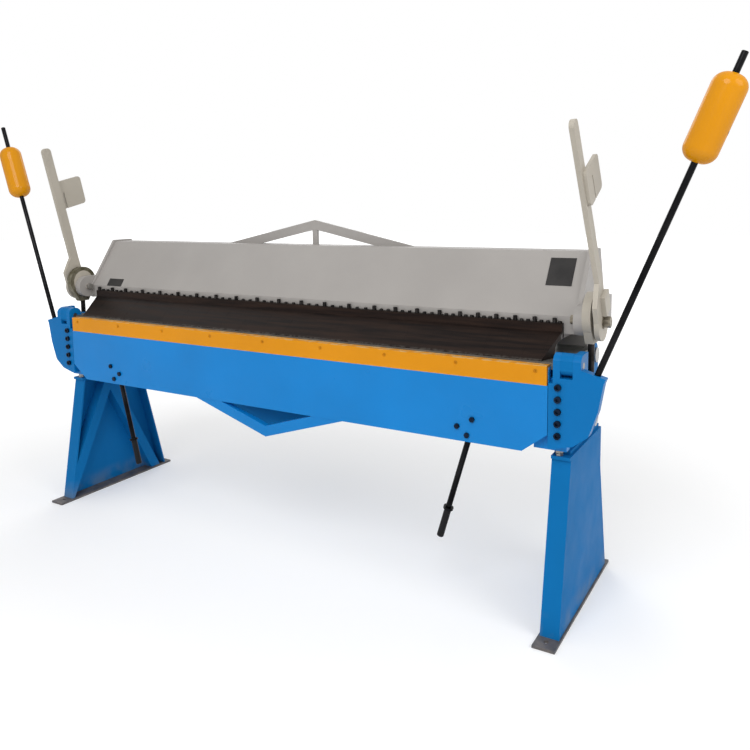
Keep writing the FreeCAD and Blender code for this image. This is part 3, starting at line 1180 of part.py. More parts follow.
def shaft_bolt():
    """Bronze bolt on the outer end of the shaft and the nut on its inner end, as two solids."""
    washer = along_x(LEVER_OUTER_X, LEVER_OUTER_X + SHAFT_WASHER, SHAFT_Y, SHAFT_Z, SHAFT_WASHER_R)
    bolt = hex_bolt(V(LEVER_OUTER_X + SHAFT_WASHER, SHAFT_Y, SHAFT_Z), V(1, 0, 0), SHAFT_BOLT_R,
                    SHAFT_BOLT_SINK, SHAFT_BOLT_HEAD, SHAFT_BOLT_HEAD_HEIGHT)
    face = EAR_X - SHAFT_WASHER
    nut = hex_bolt(V(face, SHAFT_Y, SHAFT_Z), V(-1, 0, 0), SHAFT_BOLT_R, SHAFT_BOLT_SINK,
                   SHAFT_NUT, SHAFT_NUT_HEIGHT)
    return [bolt.fuse(washer).removeSplitter(), nut]


def link_head():
    """Ring head round the eccentric, narrowing to a flat foot for the rod."""
    x0 = LINK_HEAD_X
    x1 = LINK_HEAD_END_X
    ring = along_x(x0, x1, SHAFT_Y, ECCENTRIC_Z, LINK_HEAD_R)
    reach = ECCENTRIC_Z - LINK_HEAD_FOOT_Z
    lean = math.atan2(LINK_HEAD_R - LINK_HEAD_FOOT, reach) * LINK_NECK
    shoulder = (LINK_HEAD_R * math.cos(lean), ECCENTRIC_Z - LINK_HEAD_R * math.sin(lean))
    neck = side_plate([(SHAFT_Y - shoulder[0], shoulder[1]), (SHAFT_Y + shoulder[0], shoulder[1]),
                       (SHAFT_Y + LINK_HEAD_FOOT, LINK_HEAD_FOOT_Z),
                       (SHAFT_Y - LINK_HEAD_FOOT, LINK_HEAD_FOOT_Z)], x0, x1)
    head = ring.fuse(neck)
    head = head.cut(along_x(x0 - CUT, x1 + CUT, SHAFT_Y, ECCENTRIC_Z, ECCENTRIC_R + RUN_FIT))
    head = head.cut(cylinder(V(LINK_ROD_X, SHAFT_Y, LINK_HEAD_FOOT_Z - CUT), V(0, 0, 1), LINK_ROD_R,
                             LINK_ROD_SINK + CUT))
    return head.removeSplitter()


def link_rod():
    """Rod from the ring head down to the eye on the frame pin."""
    x0 = LINK_ROD_X - LINK_EYE_WIDTH / 2
    x1 = LINK_ROD_X + LINK_EYE_WIDTH / 2
    rod = cylinder(V(LINK_ROD_X, SHAFT_Y, LINK_PIN_Z), V(0, 0, 1), LINK_ROD_R,
                   LINK_HEAD_FOOT_Z + LINK_ROD_SINK - LINK_PIN_Z)
    rod = rod.fuse(along_x(x0, x1, SHAFT_Y, LINK_PIN_Z, LINK_EYE_R))
    hole = along_x(x0 - CUT, x1 + CUT, SHAFT_Y, LINK_PIN_Z, LINK_PIN_R + LINK_PIN_PLAY)
    return rod.cut(hole).removeSplitter()


def all_nodes():
    """Every node with its solids, right-hand pieces first."""
    nodes = {
        "foot_plates": foot_plates(), "right_leg": [leg()], "leg_ribs": leg_ribs(),
        "stop_bolts": stop_bolts(), "right_end_frame": [end_frame()], "bed_beam": bed_beam(),
        "bed_top_plate": bed_top_plate(), "bed_truss": bed_truss(), "hinge_brackets": hinge_brackets(),
        "hinge_pins": hinge_pins(), "beam_pivot_pins": beam_pivot_pins(), "link_anchors": link_anchors(),
        "link_pins": link_pins(), "frame_bolts": frame_bolts(),
        "bending_leaf": bending_leaf(), "leaf_end_blocks": leaf_end_blocks(), "right_wing": [wing()],
        "wing_bolts": wing_bolts(), "leaf_truss": leaf_truss(), "folding_strip": folding_strip(),
        "strip_screws": strip_screws(), "handle_brackets": handle_pair(handle_bracket),
        "handle_bolts": handle_bolts(), "handle_bars": handle_pair(handle_bar),
        "handle_grips": handle_pair(handle_grip),
        "right_weight_rod": [weight_rod()],
        "beam_front_plate": beam_front_plate(), "beam_back_plate": beam_back_plate(),
        "beam_bottom_plate": beam_bottom_plate(), "right_beam_end": [beam_end()],
        "pivot_arms": pivot_arms(), "beam_truss": beam_truss(), "finger_clamp_bar": finger_clamp_bar(),
        "wide_fingers": fingers([WIDE_FINGER]), "medium_fingers": fingers([MEDIUM_FINGER, SMALL_FINGER]),
        "narrow_fingers": fingers([NARROW_FINGER, END_FINGER]), "finger_bolts": finger_bolts(),
        "clamp_screws": clamp_screws(), "blank_plates": blank_plates(),
        "right_eccentric": [eccentric()], "right_shaft_bolt": shaft_bolt(),
        "right_link_head": [link_head()], "right_link_rod": [link_rod()],
    }
    for name in [name for name in nodes if name.startswith("right_")]:
        nodes[name.replace("right_", "left_")] = [mirrored(solid) for solid in nodes[name]]
    nodes["right_lever"] = [lever(RIGHT_LEVER_LEAN)]
    nodes["left_lever"] = [mirrored(lever(LEFT_LEVER_LEAN))]
    nodes["right_lever_pad"] = [lever_pad(RIGHT_LEVER_LEAN, RIGHT_PAD)]
    nodes["left_lever_pad"] = [mirrored(lever_pad(LEFT_LEVER_LEAN, LEFT_PAD))]
    nodes["right_counterweight"] = [counterweight(RIGHT_WEIGHT_AT)]
    nodes["left_counterweight"] = [mirrored(counterweight(LEFT_WEIGHT_AT))]
    nodes["right_weight_screw"] = [weight_screw(RIGHT_WEIGHT_AT)]
    nodes["left_weight_screw"] = [mirrored(weight_screw(LEFT_WEIGHT_AT))]
    return nodes


def main():
    """Move the origin to the middle of the footprint and write one file per node."""
    os.makedirs("parts", exist_ok=True)
    nodes = {name: Part.makeCompound(solids) for name, solids in all_nodes().items()}
    front_y = min(shape.optimalBoundingBox(True, False).YMin for shape in nodes.values())
    rear_y = max(shape.optimalBoundingBox(True, False).YMax for shape in nodes.values())
    shift = V(0, -(front_y + rear_y) / 2, 0)
    for name, shape in nodes.items():
        if len(shape.Solids) == 1:
            shape = shape.Solids[0]
        shape.translate(shift)
        if not shape.isValid():
            print("not valid:", name)
        shape.exportStep("parts/" + name + ".step")
    print("nodes", len(nodes), "moved in Y by", shift.y)


main()
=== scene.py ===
import math

import bpy
from mathutils import Euler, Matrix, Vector

bl_info = {
    "name": "Box and pan brake",
    "version": (1, 0, 0),
    "blender": (4, 5, 0),
    "location": "View3D > Sidebar > Brake",
    "description": "Finishes and studio stage for a floor-standing box and pan brake",
    "category": "Object",
}

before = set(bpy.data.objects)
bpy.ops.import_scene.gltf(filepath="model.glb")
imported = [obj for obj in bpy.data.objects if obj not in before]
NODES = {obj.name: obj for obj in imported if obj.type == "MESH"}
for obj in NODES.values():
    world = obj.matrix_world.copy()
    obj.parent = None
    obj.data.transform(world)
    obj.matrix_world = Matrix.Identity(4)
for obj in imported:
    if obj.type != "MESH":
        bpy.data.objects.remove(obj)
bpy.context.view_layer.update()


# Node trees

def add_node(tree, kind, label, values=None, **settings):
    """A shader node with its settings and the values of its unlinked sockets."""
    node = tree.nodes.new(kind)
    node.label = label
    for key, value in settings.items():
        setattr(node, key, value)
    for key, value in (values or {}).items():
        node.inputs[key].default_value = value
    return node


def start_material(name):
    """A new material with its Principled shader, output and object coordinates."""
    material = bpy.data.materials.new(name)
    material.use_nodes = True
    tree = material.node_tree
    tree.nodes.clear()
    shader = add_node(tree, "ShaderNodeBsdfPrincipled", "finish")
    output = add_node(tree, "ShaderNodeOutputMaterial", "surface")
    tree.links.new(shader.outputs["BSDF"], output.inputs["Surface"])
    place = add_node(tree, "ShaderNodeTexCoord", "place on the machine")
    return material, tree, shader, place.outputs["Object"]


def noise(tree, place, label, scale, detail=3.0, roughness=0.5, stretch=None):
    """Noise at a given scale per metre, stretched along an axis where asked."""
    if stretch is not None:
        turn = add_node(tree, "ShaderNodeMapping", label + " stretch", {"Scale": stretch})
        tree.links.new(place, turn.inputs["Vector"])
        place = turn.outputs["Vector"]
    texture = add_node(tree, "ShaderNodeTexNoise", label,
                       {"Scale": scale, "Detail": detail, "Roughness": roughness})
    tree.links.new(place, texture.inputs["Vector"])
    return texture.outputs["Fac"]


def along(tree, place, axis):
    """The place along one axis, in metres."""
    parts = add_node(tree, "ShaderNodeSeparateXYZ", "place along " + axis)
    tree.links.new(place, parts.inputs["Vector"])
    return parts.outputs[axis]


def spread(tree, value, label, low, high, out_low=0.0, out_high=1.0):
    """A value range mapped to another and clamped."""
    ramp = add_node(tree, "ShaderNodeMapRange", label,
                    {"From Min": low, "From Max": high, "To Min": out_low, "To Max": out_high})
    tree.links.new(value, ramp.inputs["Value"])
    return ramp.outputs["Result"]


def blend_colours(tree, mask, label, first, second):
    """Mix of two colours or colour outputs by a mask."""
    mix = add_node(tree, "ShaderNodeMix", label, data_type="RGBA")
    for socket, colour in ((mix.inputs[6], first), (mix.inputs[7], second)):
        if isinstance(colour, bpy.types.NodeSocket):
            tree.links.new(colour, socket)
        else:
            socket.default_value = (*colour[:3], 1.0)
    tree.links.new(mask, mix.inputs[0])
    return mix.outputs[2]


def bump(tree, shader, height, strength, distance):
    """Bump from a height value, in metres, stacked on any bump before it."""
    node = add_node(tree, "ShaderNodeBump", "relief", {"Strength": strength, "Distance": distance})
    tree.links.new(height, node.inputs["Height"])
    before = shader.inputs["Normal"].links
    if before:
        tree.links.new(before[0].from_socket, node.inputs["Normal"])
    tree.links.new(node.outputs["Normal"], shader.inputs["Normal"])


def product(tree, first, second, label):
    """Product of two values."""
    node = add_node(tree, "ShaderNodeMath", label, operation="MULTIPLY")
    tree.links.new(first, node.inputs[0])
    tree.links.new(second, node.inputs[1])
    return node.outputs[0]


def scaled(colour, factor):
    """A colour made lighter or darker."""
    return tuple(min(1.0, channel * factor) for channel in colour[:3])


# Wear, dust and the strip's pale edges, which are partly wear and partly painted highlight: places in the
# machine's frame and widths, in metres

# Pale colour of the strip's edge bands: partly wear, partly a painted highlight of the lit edges.
EDGE_WEAR_AND_HIGHLIGHT = (0.62, 0.46, 0.22)
STRIP_TOP = 0.974
STRIP_BOTTOM = 0.904
STRIP_TOP_PALE_BAND = 0.0025
STRIP_BOTTOM_PALE_BAND = 0.0035
NOSE_WEAR_START = -0.1765
NOSE_WEAR_END = -0.1840
DUST_GREY = (0.20, 0.24, 0.28)
DUST_HEIGHT = 0.10


# Texture scales, in features per metre

COAT_CLOUDS = 2.6
COAT_SPECKS = 210.0
ORANGE_PEEL = 230.0
GLOSS_PATCHES = 7.0
DUST_PATCHES = 9.0
EDGE_CHIPS = 38.0
SCALE_PATCHES = 6.0
GRINDING_MARKS = 60.0
SURFACE_PITS = 320.0
MILLED_STREAKS = 60.0
MILLING_MARKS = 90.0
NOSE_CHIPS = 75.0
PLASTIC_SHADE = 30.0
PLASTIC_GRAIN = 900.0
FLOOR_GRAIN = 1.5


# Kinds of finish

def paint(name, colour, gloss, mottle=0.05, peel=0.25, dusty=False, coat=0.0, worn_and_highlit_edges=(), specular=0.2):
    """Sprayed enamel: slight mottling, orange peel and specks, dust near the floor, and pale edges by height
    that are partly wear and partly painted highlight.
    """
    material, tree, shader, place = start_material(name)
    cloud = noise(tree, place, "uneven coat", COAT_CLOUDS, 4.0)
    base = blend_colours(tree, spread(tree, cloud, "coat shade", 0.35, 0.65), "coat",
                         scaled(colour, 1 - mottle), scaled(colour, 1 + mottle))
    specks = noise(tree, place, "specks", COAT_SPECKS, 2.0)
    speck_mask = spread(tree, specks, "speck mask", 0.70, 0.78, 0.0, 0.35)
    base = blend_colours(tree, speck_mask, "specked coat", base, scaled(colour, 0.72))
    if dusty:
        low = spread(tree, along(tree, place, "Z"), "near the floor", DUST_HEIGHT, 0.0, 0.0, 0.5)
        patchy = spread(tree, noise(tree, place, "dust patches", DUST_PATCHES, 5.0), "dust mask", 0.42, 0.62)
        base = blend_colours(tree, product(tree, low, patchy, "dust"), "dusty coat", base, DUST_GREY)
    # Pale bands at the given heights, broken by noise: partly wear, partly a painted highlight of the lit
    # edges.
    for edge, inside in worn_and_highlit_edges:
        near = spread(tree, along(tree, place, "Z"), "near the edge", inside, edge, 0.0, 0.7)
        chips = spread(tree, noise(tree, place, "edge chips", EDGE_CHIPS, 5.0), "chip mask", 0.46, 0.60)
        base = blend_colours(tree, product(tree, near, chips, "worn and highlit edge"), "pale edge: wear and painted highlight", base, EDGE_WEAR_AND_HIGHLIGHT)
    tree.links.new(base, shader.inputs["Base Color"])
    sheen = noise(tree, place, "gloss patches", GLOSS_PATCHES, 3.0)
    tree.links.new(spread(tree, sheen, "roughness", 0.3, 0.7, gloss - 0.06, gloss + 0.08),
                   shader.inputs["Roughness"])
    bump(tree, shader, noise(tree, place, "orange peel", ORANGE_PEEL, 2.0), peel, 0.0006)
    shader.inputs["Specular IOR Level"].default_value = specular
    shader.inputs["Coat Weight"].default_value = coat
    shader.inputs["Coat Roughness"].default_value = 0.12
    return material


def worn_steel(name, dark, bright, roughness, metallic=1.0, grain=None, patch_scale=SCALE_PATCHES):
    """Bare or blackened steel with patches of scale and fine grinding marks."""
    material, tree, shader, place = start_material(name)
    patches = noise(tree, place, "scale patches", patch_scale, 6.0, 0.6)
    patch_mask = spread(tree, patches, "patch mask", 0.38, 0.64)
    colour = blend_colours(tree, patch_mask, "steel colour", dark, bright)
    tree.links.new(colour, shader.inputs["Base Color"])
    shader.inputs["Metallic"].default_value = metallic
    tree.links.new(spread(tree, patches, "roughness", 0.35, 0.65, roughness + 0.1, roughness - 0.08),
                   shader.inputs["Roughness"])
    if grain is not None:
        marks = noise(tree, place, "grinding marks", GRINDING_MARKS, 3.0, stretch=grain)
        bump(tree, shader, marks, 0.35, 0.0003)
    bump(tree, shader, noise(tree, place, "surface pits", SURFACE_PITS, 2.0), 0.2, 0.0004)
    return material


def finger_steel(name, dark, brown, worn):
    """Blackened finger steel, browner in milled streaks and rubbed brighter along the noses."""
    material, tree, shader, place = start_material(name)
    streaks = noise(tree, place, "milled streaks", MILLED_STREAKS, 5.0, 0.6, stretch=(0.06, 1.0, 1.0))
    base = blend_colours(tree, spread(tree, streaks, "streak mask", 0.36, 0.66), "oiled steel", dark, brown)
    nose = spread(tree, along(tree, place, "Y"), "near the nose", NOSE_WEAR_START, NOSE_WEAR_END)
    rough_edge = spread(tree, noise(tree, place, "wear edge", NOSE_CHIPS, 4.0), "wear mask", 0.40, 0.60)
    mask = product(tree, nose, rough_edge, "worn nose")
    base = blend_colours(tree, mask, "worn steel", base, worn)
    tree.links.new(base, shader.inputs["Base Color"])
    shader.inputs["Metallic"].default_value = 0.75
    tree.links.new(spread(tree, streaks, "roughness", 0.3, 0.7, 0.34, 0.50), shader.inputs["Roughness"])
    shader.inputs["Specular IOR Level"].default_value = 0.15
    marks = noise(tree, place, "milling marks", MILLING_MARKS, 3.0, stretch=(0.2, 6.0, 6.0))
    bump(tree, shader, marks, 0.25, 0.0003)
    return material


def plastic(name, colour, roughness):
    """Moulded plastic with a fine grain."""
    material, tree, shader, place = start_material(name)
    shade = noise(tree, place, "shade", PLASTIC_SHADE, 3.0)
    tree.links.new(blend_colours(tree, shade, "plastic", scaled(colour, 0.8), scaled(colour, 1.25)),
                   shader.inputs["Base Color"])
    tree.links.new(spread(tree, shade, "roughness", 0.3, 0.7, roughness - 0.06, roughness + 0.08),
                   shader.inputs["Roughness"])
    shader.inputs["Specular IOR Level"].default_value = 0.12
    bump(tree, shader, noise(tree, place, "grain", PLASTIC_GRAIN, 2.0), 0.15, 0.0002)
    return material


# Finishes of this machine, and the solids that carry them

FINISH_OF_NODE = {
    "frame_blue": "left_leg right_leg leg_ribs left_end_frame right_end_frame bed_beam bed_truss "
                  "hinge_brackets link_anchors",
    "leaf_blue": "bending_leaf leaf_end_blocks leaf_truss handle_brackets",
    "wing_blue": "left_wing right_wing",
    "beam_grey": "beam_front_plate beam_back_plate beam_bottom_plate left_beam_end right_beam_end "
                 "pivot_arms beam_truss",
    "lever_grey": "left_lever right_lever left_lever_pad right_lever_pad left_eccentric right_eccentric",
    "link_worn": "left_link_head",
    "link_grey": "right_link_head",
    "strip_yellow": "folding_strip",
    "weight_amber": "left_counterweight right_counterweight",
    "finger_black": "wide_fingers medium_fingers narrow_fingers finger_clamp_bar",
    "strip_screw_paint": "strip_screws",
    "bolt_navy": "wing_bolts handle_bolts",
    "screw_black": "finger_bolts clamp_screws left_weight_screw right_weight_screw "
                   "left_link_rod right_link_rod",
    "bolt_blue": "frame_bolts",
    "rod_black": "left_weight_rod right_weight_rod handle_bars",
    "foot_steel": "foot_plates",
    "bed_steel": "bed_top_plate",
    "pin_steel": "hinge_pins beam_pivot_pins link_pins stop_bolts",
    "plate_dark": "blank_plates",
    "bolt_bronze": "right_shaft_bolt",
    "bolt_grey": "left_shaft_bolt",
    "grip_black": "handle_grips",
}


PAINTS = {
    # The frame's blue is the leaf's paint drawn darker as painted shade, where the frame stands in less
    # light.
    "frame_blue": {"tint": "frame_blue", "gloss": 0.48, "dusty": True, "specular": 0.05},
    "leaf_blue": {"tint": "leaf_blue", "gloss": 0.33},
    # The wings take the leaf's blue darkened to 0.75 as painted shade, where less light falls on them at the
    # ends.
    "wing_blue": {"tint": "leaf_blue", "shade": 0.75, "gloss": 0.36, "specular": 0.1},
    "beam_grey": {"tint": "beam_grey", "gloss": 0.42, "mottle": 0.04},
    "lever_grey": {"tint": "lever_grey", "gloss": 0.45, "mottle": 0.05, "peel": 0.3},
    "link_grey": {"tint": "lever_grey", "shade": 0.9, "gloss": 0.5, "mottle": 0.08, "peel": 0.5},
    # The strip's pale bands at its top and bottom edges are partly wear and partly painted highlight.
    "strip_yellow": {"tint": "strip_yellow", "gloss": 0.36, "mottle": 0.04,
                     "worn_and_highlit_edges": ((STRIP_TOP, STRIP_TOP - STRIP_TOP_PALE_BAND),
                                    (STRIP_BOTTOM, STRIP_BOTTOM + STRIP_BOTTOM_PALE_BAND))},
    "strip_screw_paint": {"tint": "strip_yellow", "shade": 0.8, "gloss": 0.4, "mottle": 0.08},
    "weight_amber": {"tint": "weight_amber", "gloss": 0.3, "mottle": 0.04, "peel": 0.1, "coat": 0.4,
                     "specular": 0.0},
}

STEELS = {
    "link_worn": {"dark": (0.095, 0.085, 0.050), "bright": (0.24, 0.22, 0.165), "roughness": 0.5,
                  "metallic": 0.5, "patch_scale": 22.0},
    "bolt_navy": {"dark": (0.003, 0.007, 0.018), "bright": (0.010, 0.020, 0.042), "roughness": 0.42,
                  "metallic": 0.9, "patch_scale": 30.0},
    "screw_black": {"dark": (0.010, 0.009, 0.009), "bright": (0.032, 0.029, 0.028), "roughness": 0.40,
                    "metallic": 0.95, "patch_scale": 30.0},
    "bolt_blue": {"dark": (0.020, 0.050, 0.085), "bright": (0.045, 0.085, 0.14), "roughness": 0.38,
                  "metallic": 0.6},
    "bolt_bronze": {"dark": (0.13, 0.112, 0.082), "bright": (0.32, 0.285, 0.225), "roughness": 0.42,
                    "metallic": 0.8, "patch_scale": 40.0},
    "bolt_grey": {"dark": (0.20, 0.19, 0.175), "bright": (0.34, 0.325, 0.30), "roughness": 0.45,
                  "metallic": 0.5},
    "rod_black": {"dark": (0.006, 0.006, 0.007), "bright": (0.018, 0.018, 0.019), "roughness": 0.32},
    "foot_steel": {"dark": (0.075, 0.078, 0.088), "bright": (0.155, 0.135, 0.125), "roughness": 0.55,
                   "metallic": 0.3, "patch_scale": 14.0},
    "bed_steel": {"dark": (0.085, 0.088, 0.082), "bright": (0.16, 0.163, 0.155), "roughness": 0.45,
                  "metallic": 0.5, "grain": (1.0, 14.0, 14.0)},
    "pin_steel": {"dark": (0.21, 0.21, 0.21), "bright": (0.36, 0.35, 0.335), "roughness": 0.30,
                  "grain": (12.0, 1.0, 1.0)},
    "plate_dark": {"dark": (0.012, 0.011, 0.011), "bright": (0.026, 0.024, 0.023), "roughness": 0.42,
                   "metallic": 0.5, "grain": (1.0, 10.0, 10.0)},
}

FINGER_DARK = (0.010, 0.007, 0.0065)
FINGER_BROWN = (0.028, 0.017, 0.013)
FINGER_WORN = (0.070, 0.062, 0.055)
GRIP_BLACK = (0.010, 0.010, 0.011)
GRIP_ROUGHNESS = 0.35


def make_finish(finish, colours):
    """The material of a named finish."""
    if finish in PAINTS:
        settings = dict(PAINTS[finish])
        tint = getattr(colours, settings.pop("tint"))
        return paint(finish, scaled(tint, settings.pop("shade", 1.0)), **settings)
    if finish in STEELS:
        return worn_steel(finish, **STEELS[finish])
    if finish == "finger_black":
        return finger_steel(finish, FINGER_DARK, FINGER_BROWN, FINGER_WORN)
    return plastic(finish, GRIP_BLACK, GRIP_ROUGHNESS)


# Settings

class BrakeColours(bpy.types.PropertyGroup):
    """Paint colours of the machine and the floor."""
    # The leaf's paint drawn darker than the leaf's blue as painted shade.
    frame_blue: bpy.props.FloatVectorProperty(
        name="Frame enamel with painted shade", description="Enamel of the legs, bed and end frames",
        default=(0.004, 0.145, 0.395), subtype="COLOR", min=0.0, max=1.0)
    leaf_blue: bpy.props.FloatVectorProperty(
        name="Leaf blue", description="Enamel of the bending leaf and its wings",
        default=(0.003, 0.200, 0.560), subtype="COLOR", min=0.0, max=1.0)
    beam_grey: bpy.props.FloatVectorProperty(
        name="Beam grey", description="Enamel of the clamping beam",
        default=(0.342, 0.324, 0.308), subtype="COLOR", min=0.0, max=1.0)
    lever_grey: bpy.props.FloatVectorProperty(
        name="Lever grey", description="Enamel of the clamping levers",
        default=(0.430, 0.395, 0.335), subtype="COLOR", min=0.0, max=1.0)
    strip_yellow: bpy.props.FloatVectorProperty(
        name="Strip yellow", description="Paint of the folding strip",
        default=(0.670, 0.258, 0.0015), subtype="COLOR", min=0.0, max=1.0)
    weight_amber: bpy.props.FloatVectorProperty(
        name="Weight amber", description="Gloss paint of the counterweights",
        default=(0.640, 0.256, 0.001), subtype="COLOR", min=0.0, max=1.0)
    floor_white: bpy.props.FloatVectorProperty(
        name="Floor white", description="Colour of the studio floor",
        default=(0.86, 0.86, 0.86), subtype="COLOR", min=0.0, max=1.0)


class BrakeStage(bpy.types.PropertyGroup):
    """Camera and lamps."""
    camera_place: bpy.props.FloatVectorProperty(
        name="Camera place", description="Where the camera stands",
        default=(2.0645, -2.7178, 1.5517), subtype="TRANSLATION", unit="LENGTH")
    camera_turn: bpy.props.FloatVectorProperty(
        name="Camera turn", description="Rotation of the camera",
        default=tuple(math.radians(angle) for angle in (83.491, 0.801, 30.766)), subtype="EULER")
    camera_lens: bpy.props.FloatProperty(
        name="Lens", description="Focal length on a 36 mm sensor", default=35.74, unit="CAMERA")
    camera_shift: bpy.props.FloatProperty(
        name="Vertical shift", description="Shift that brings the feet into the frame", default=-0.1175)
    floor_size: bpy.props.FloatProperty(
        name="Floor size", description="Side of the floor sheet", default=60.0, unit="LENGTH")
    key_power: bpy.props.FloatProperty(
        name="Key lamp", description="Power of the large lamp in front", default=150.0, unit="POWER")
    world_level: bpy.props.FloatProperty(
        name="World level", description="Strength of the even light from all round", default=0.62)


def dress(*finishes):
    """Give the solids of the named finishes their material."""
    colours = bpy.context.scene.brake_colours
    for finish in finishes:
        material = make_finish(finish, colours)
        for name in FINISH_OF_NODE[finish].split():
            mesh = NODES[name].data
            mesh.materials.clear()
            mesh.materials.append(material)


# Operators

class BRAKE_OT_frame(bpy.types.Operator):
    """Finish the stand: legs, end frames, bed, feet and pins"""
    bl_idname = "brake.frame"
    bl_label = "Finish the stand"

    def execute(self, context):
        dress("frame_blue", "foot_steel", "bed_steel", "pin_steel")
        return {"FINISHED"}


class BRAKE_OT_leaf(bpy.types.Operator):
    """Finish the bending leaf, its strip, wings, handles and rods"""
    bl_idname = "brake.leaf"
    bl_label = "Finish the bending leaf"

    def execute(self, context):
        dress("leaf_blue", "wing_blue", "strip_yellow", "strip_screw_paint", "rod_black", "grip_black")
        return {"FINISHED"}


class BRAKE_OT_beam(bpy.types.Operator):
    """Finish the clamping beam, its truss and its bare plates"""
    bl_idname = "brake.beam"
    bl_label = "Finish the clamping beam"

    def execute(self, context):
        dress("beam_grey", "plate_dark")
        return {"FINISHED"}


class BRAKE_OT_fingers(bpy.types.Operator):
    """Finish the fingers and their clamp bar"""
    bl_idname = "brake.fingers"
    bl_label = "Finish the fingers"

    def execute(self, context):
        dress("finger_black")
        return {"FINISHED"}


class BRAKE_OT_levers(bpy.types.Operator):
    """Finish the levers, eccentrics and links"""
    bl_idname = "brake.levers"
    bl_label = "Finish the levers"

    def execute(self, context):
        dress("lever_grey", "link_grey", "link_worn", "bolt_bronze", "bolt_grey")
        return {"FINISHED"}


class BRAKE_OT_weights(bpy.types.Operator):
    """Finish the counterweights"""
    bl_idname = "brake.weights"
    bl_label = "Finish the counterweights"

    def execute(self, context):
        dress("weight_amber")
        return {"FINISHED"}


class BRAKE_OT_fasteners(bpy.types.Operator):
    """Finish the bolts and screws"""
    bl_idname = "brake.fasteners"
    bl_label = "Finish the fasteners"

    def execute(self, context):
        dress("screw_black", "bolt_navy", "bolt_blue")
        return {"FINISHED"}


# Stage: the floor's white rises from the first to the second value over the fade, in metres

FLOOR_FADE = (2.0, 7.0)
FLOOR_WHITE = (0.16, 0.75)
CAMERA_REACH = 200.0
LAMP_AIM = Vector((0, 0, 0.9))
LAMPS = (
    # name, place, size, share of the key lamp's power
    ("key_lamp", (1.2, -4.2, 4.6), 3.6, 1.0),
    ("side_lamp", (5.0, -1.0, 3.4), 3.0, 0.40),
    ("rear_lamp", (-2.5, 4.0, 4.5), 3.5, 0.45),
)


def eye_mask(tree):
    """1 for camera, mirrored and see-through rays, 0 for light on the machine."""
    rays = add_node(tree, "ShaderNodeLightPath", "rays")
    seen = rays.outputs["Is Camera Ray"]
    for other in ("Is Glossy Ray", "Is Transmission Ray"):
        either = add_node(tree, "ShaderNodeMath", "seen or mirrored", operation="MAXIMUM")
        tree.links.new(seen, either.inputs[0])
        tree.links.new(rays.outputs[other], either.inputs[1])
        seen = either.outputs[0]
    return seen


def floor_material(colour):
    """Pale floor that shows white to the camera and in reflections and keeps the shadow."""
    material, tree, shader, place = start_material("studio_floor")
    grain = noise(tree, place, "floor grain", FLOOR_GRAIN, 3.0)
    tree.links.new(blend_colours(tree, grain, "floor colour", scaled(colour, 0.985), colour),
                   shader.inputs["Base Color"])
    shader.inputs["Roughness"].default_value = 0.9
    shader.inputs["Specular IOR Level"].default_value = 0.1
    away = add_node(tree, "ShaderNodeVectorMath", "distance from the machine", operation="LENGTH")
    tree.links.new(place, away.inputs[0])
    lift = spread(tree, away.outputs["Value"], "fade to white", *FLOOR_FADE, *FLOOR_WHITE)
    shader.inputs["Emission Color"].default_value = (1.0, 1.0, 1.0, 1.0)
    glow = product(tree, eye_mask(tree), lift, "white to the eye")
    tree.links.new(glow, shader.inputs["Emission Strength"])
    return material


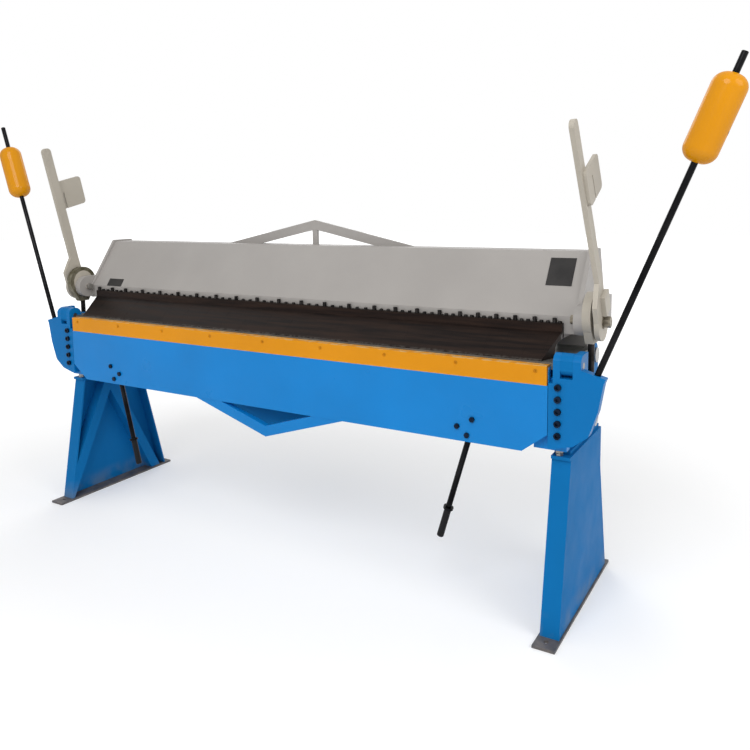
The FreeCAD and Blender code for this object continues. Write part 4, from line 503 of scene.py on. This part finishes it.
class BRAKE_OT_stage(bpy.types.Operator):
    """Set up the floor, the lamps, the world and the camera"""
    bl_idname = "brake.stage"
    bl_label = "Set up the stage"

    def execute(self, context):
        stage = context.scene.brake_stage
        scene = context.scene
        half = stage.floor_size / 2
        mesh = bpy.data.meshes.new("studio_floor")
        corners = [(-half, -half, 0), (half, -half, 0), (half, half, 0), (-half, half, 0)]
        mesh.from_pydata(corners, [], [(0, 1, 2, 3)])
        mesh.materials.append(floor_material(scene.brake_colours.floor_white))
        floor = bpy.data.objects.new("studio_floor", mesh)
        scene.collection.objects.link(floor)

        for name, spot, size, share in LAMPS:
            light = bpy.data.lights.new(name, "AREA")
            light.shape = "DISK"
            light.size = size
            light.energy = stage.key_power * share
            lamp = bpy.data.objects.new(name, light)
            lamp.location = spot
            lamp.rotation_euler = (LAMP_AIM - Vector(spot)).to_track_quat("-Z", "Y").to_euler()
            scene.collection.objects.link(lamp)

        world = bpy.data.worlds.new("studio")
        scene.world = world
        world.use_nodes = True
        tree = world.node_tree
        tree.nodes.clear()
        lit = add_node(tree, "ShaderNodeBackground", "even light",
                       {"Color": (1.0, 1.0, 1.0, 1.0), "Strength": stage.world_level})
        white = add_node(tree, "ShaderNodeBackground", "white wall",
                         {"Color": (1.0, 1.0, 1.0, 1.0), "Strength": 1.0})
        mix = add_node(tree, "ShaderNodeMixShader", "wall or light")
        output = add_node(tree, "ShaderNodeOutputWorld", "world")
        tree.links.new(eye_mask(tree), mix.inputs[0])
        tree.links.new(lit.outputs[0], mix.inputs[1])
        tree.links.new(white.outputs[0], mix.inputs[2])
        tree.links.new(mix.outputs[0], output.inputs["Surface"])

        camera = bpy.data.cameras.new("camera")
        camera.sensor_width = 36.0
        camera.lens = stage.camera_lens
        camera.shift_y = stage.camera_shift
        camera.clip_end = CAMERA_REACH
        view = bpy.data.objects.new("camera", camera)
        view.location = stage.camera_place
        view.rotation_euler = Euler(stage.camera_turn, "XYZ")
        scene.collection.objects.link(view)
        scene.camera = view
        scene.view_settings.view_transform = "Standard"
        return {"FINISHED"}


class BRAKE_PT_panel(bpy.types.Panel):
    """Lists the steps that dress the brake"""
    bl_idname = "BRAKE_PT_panel"
    bl_label = "Box and pan brake"
    bl_space_type = "VIEW_3D"
    bl_region_type = "UI"
    bl_category = "Brake"

    def draw(self, context):
        layout = self.layout
        for group in (context.scene.brake_colours, context.scene.brake_stage):
            box = layout.box()
            for key in group.bl_rna.properties.keys():
                if key not in ("rna_type", "name"):
                    box.prop(group, key)
        for step in STEPS:
            layout.operator(step.bl_idname)


STEPS = (BRAKE_OT_frame, BRAKE_OT_leaf, BRAKE_OT_beam, BRAKE_OT_fingers, BRAKE_OT_levers,
         BRAKE_OT_weights, BRAKE_OT_fasteners, BRAKE_OT_stage)
CLASSES = (BrakeColours, BrakeStage, BRAKE_PT_panel) + STEPS


def register():
    """Register the classes and hang the settings on the scene."""
    for cls in CLASSES:
        bpy.utils.register_class(cls)
    bpy.types.Scene.brake_colours = bpy.props.PointerProperty(type=BrakeColours)
    bpy.types.Scene.brake_stage = bpy.props.PointerProperty(type=BrakeStage)


def unregister():
    """Undo register."""
    del bpy.types.Scene.brake_stage
    del bpy.types.Scene.brake_colours
    for cls in reversed(CLASSES):
        bpy.utils.unregister_class(cls)


def main():
    """Dress the whole machine."""
    register()
    for step in STEPS:
        group, name = step.bl_idname.split(".")
        getattr(getattr(bpy.ops, group), name)()


if __name__ == "__main__":
    main()
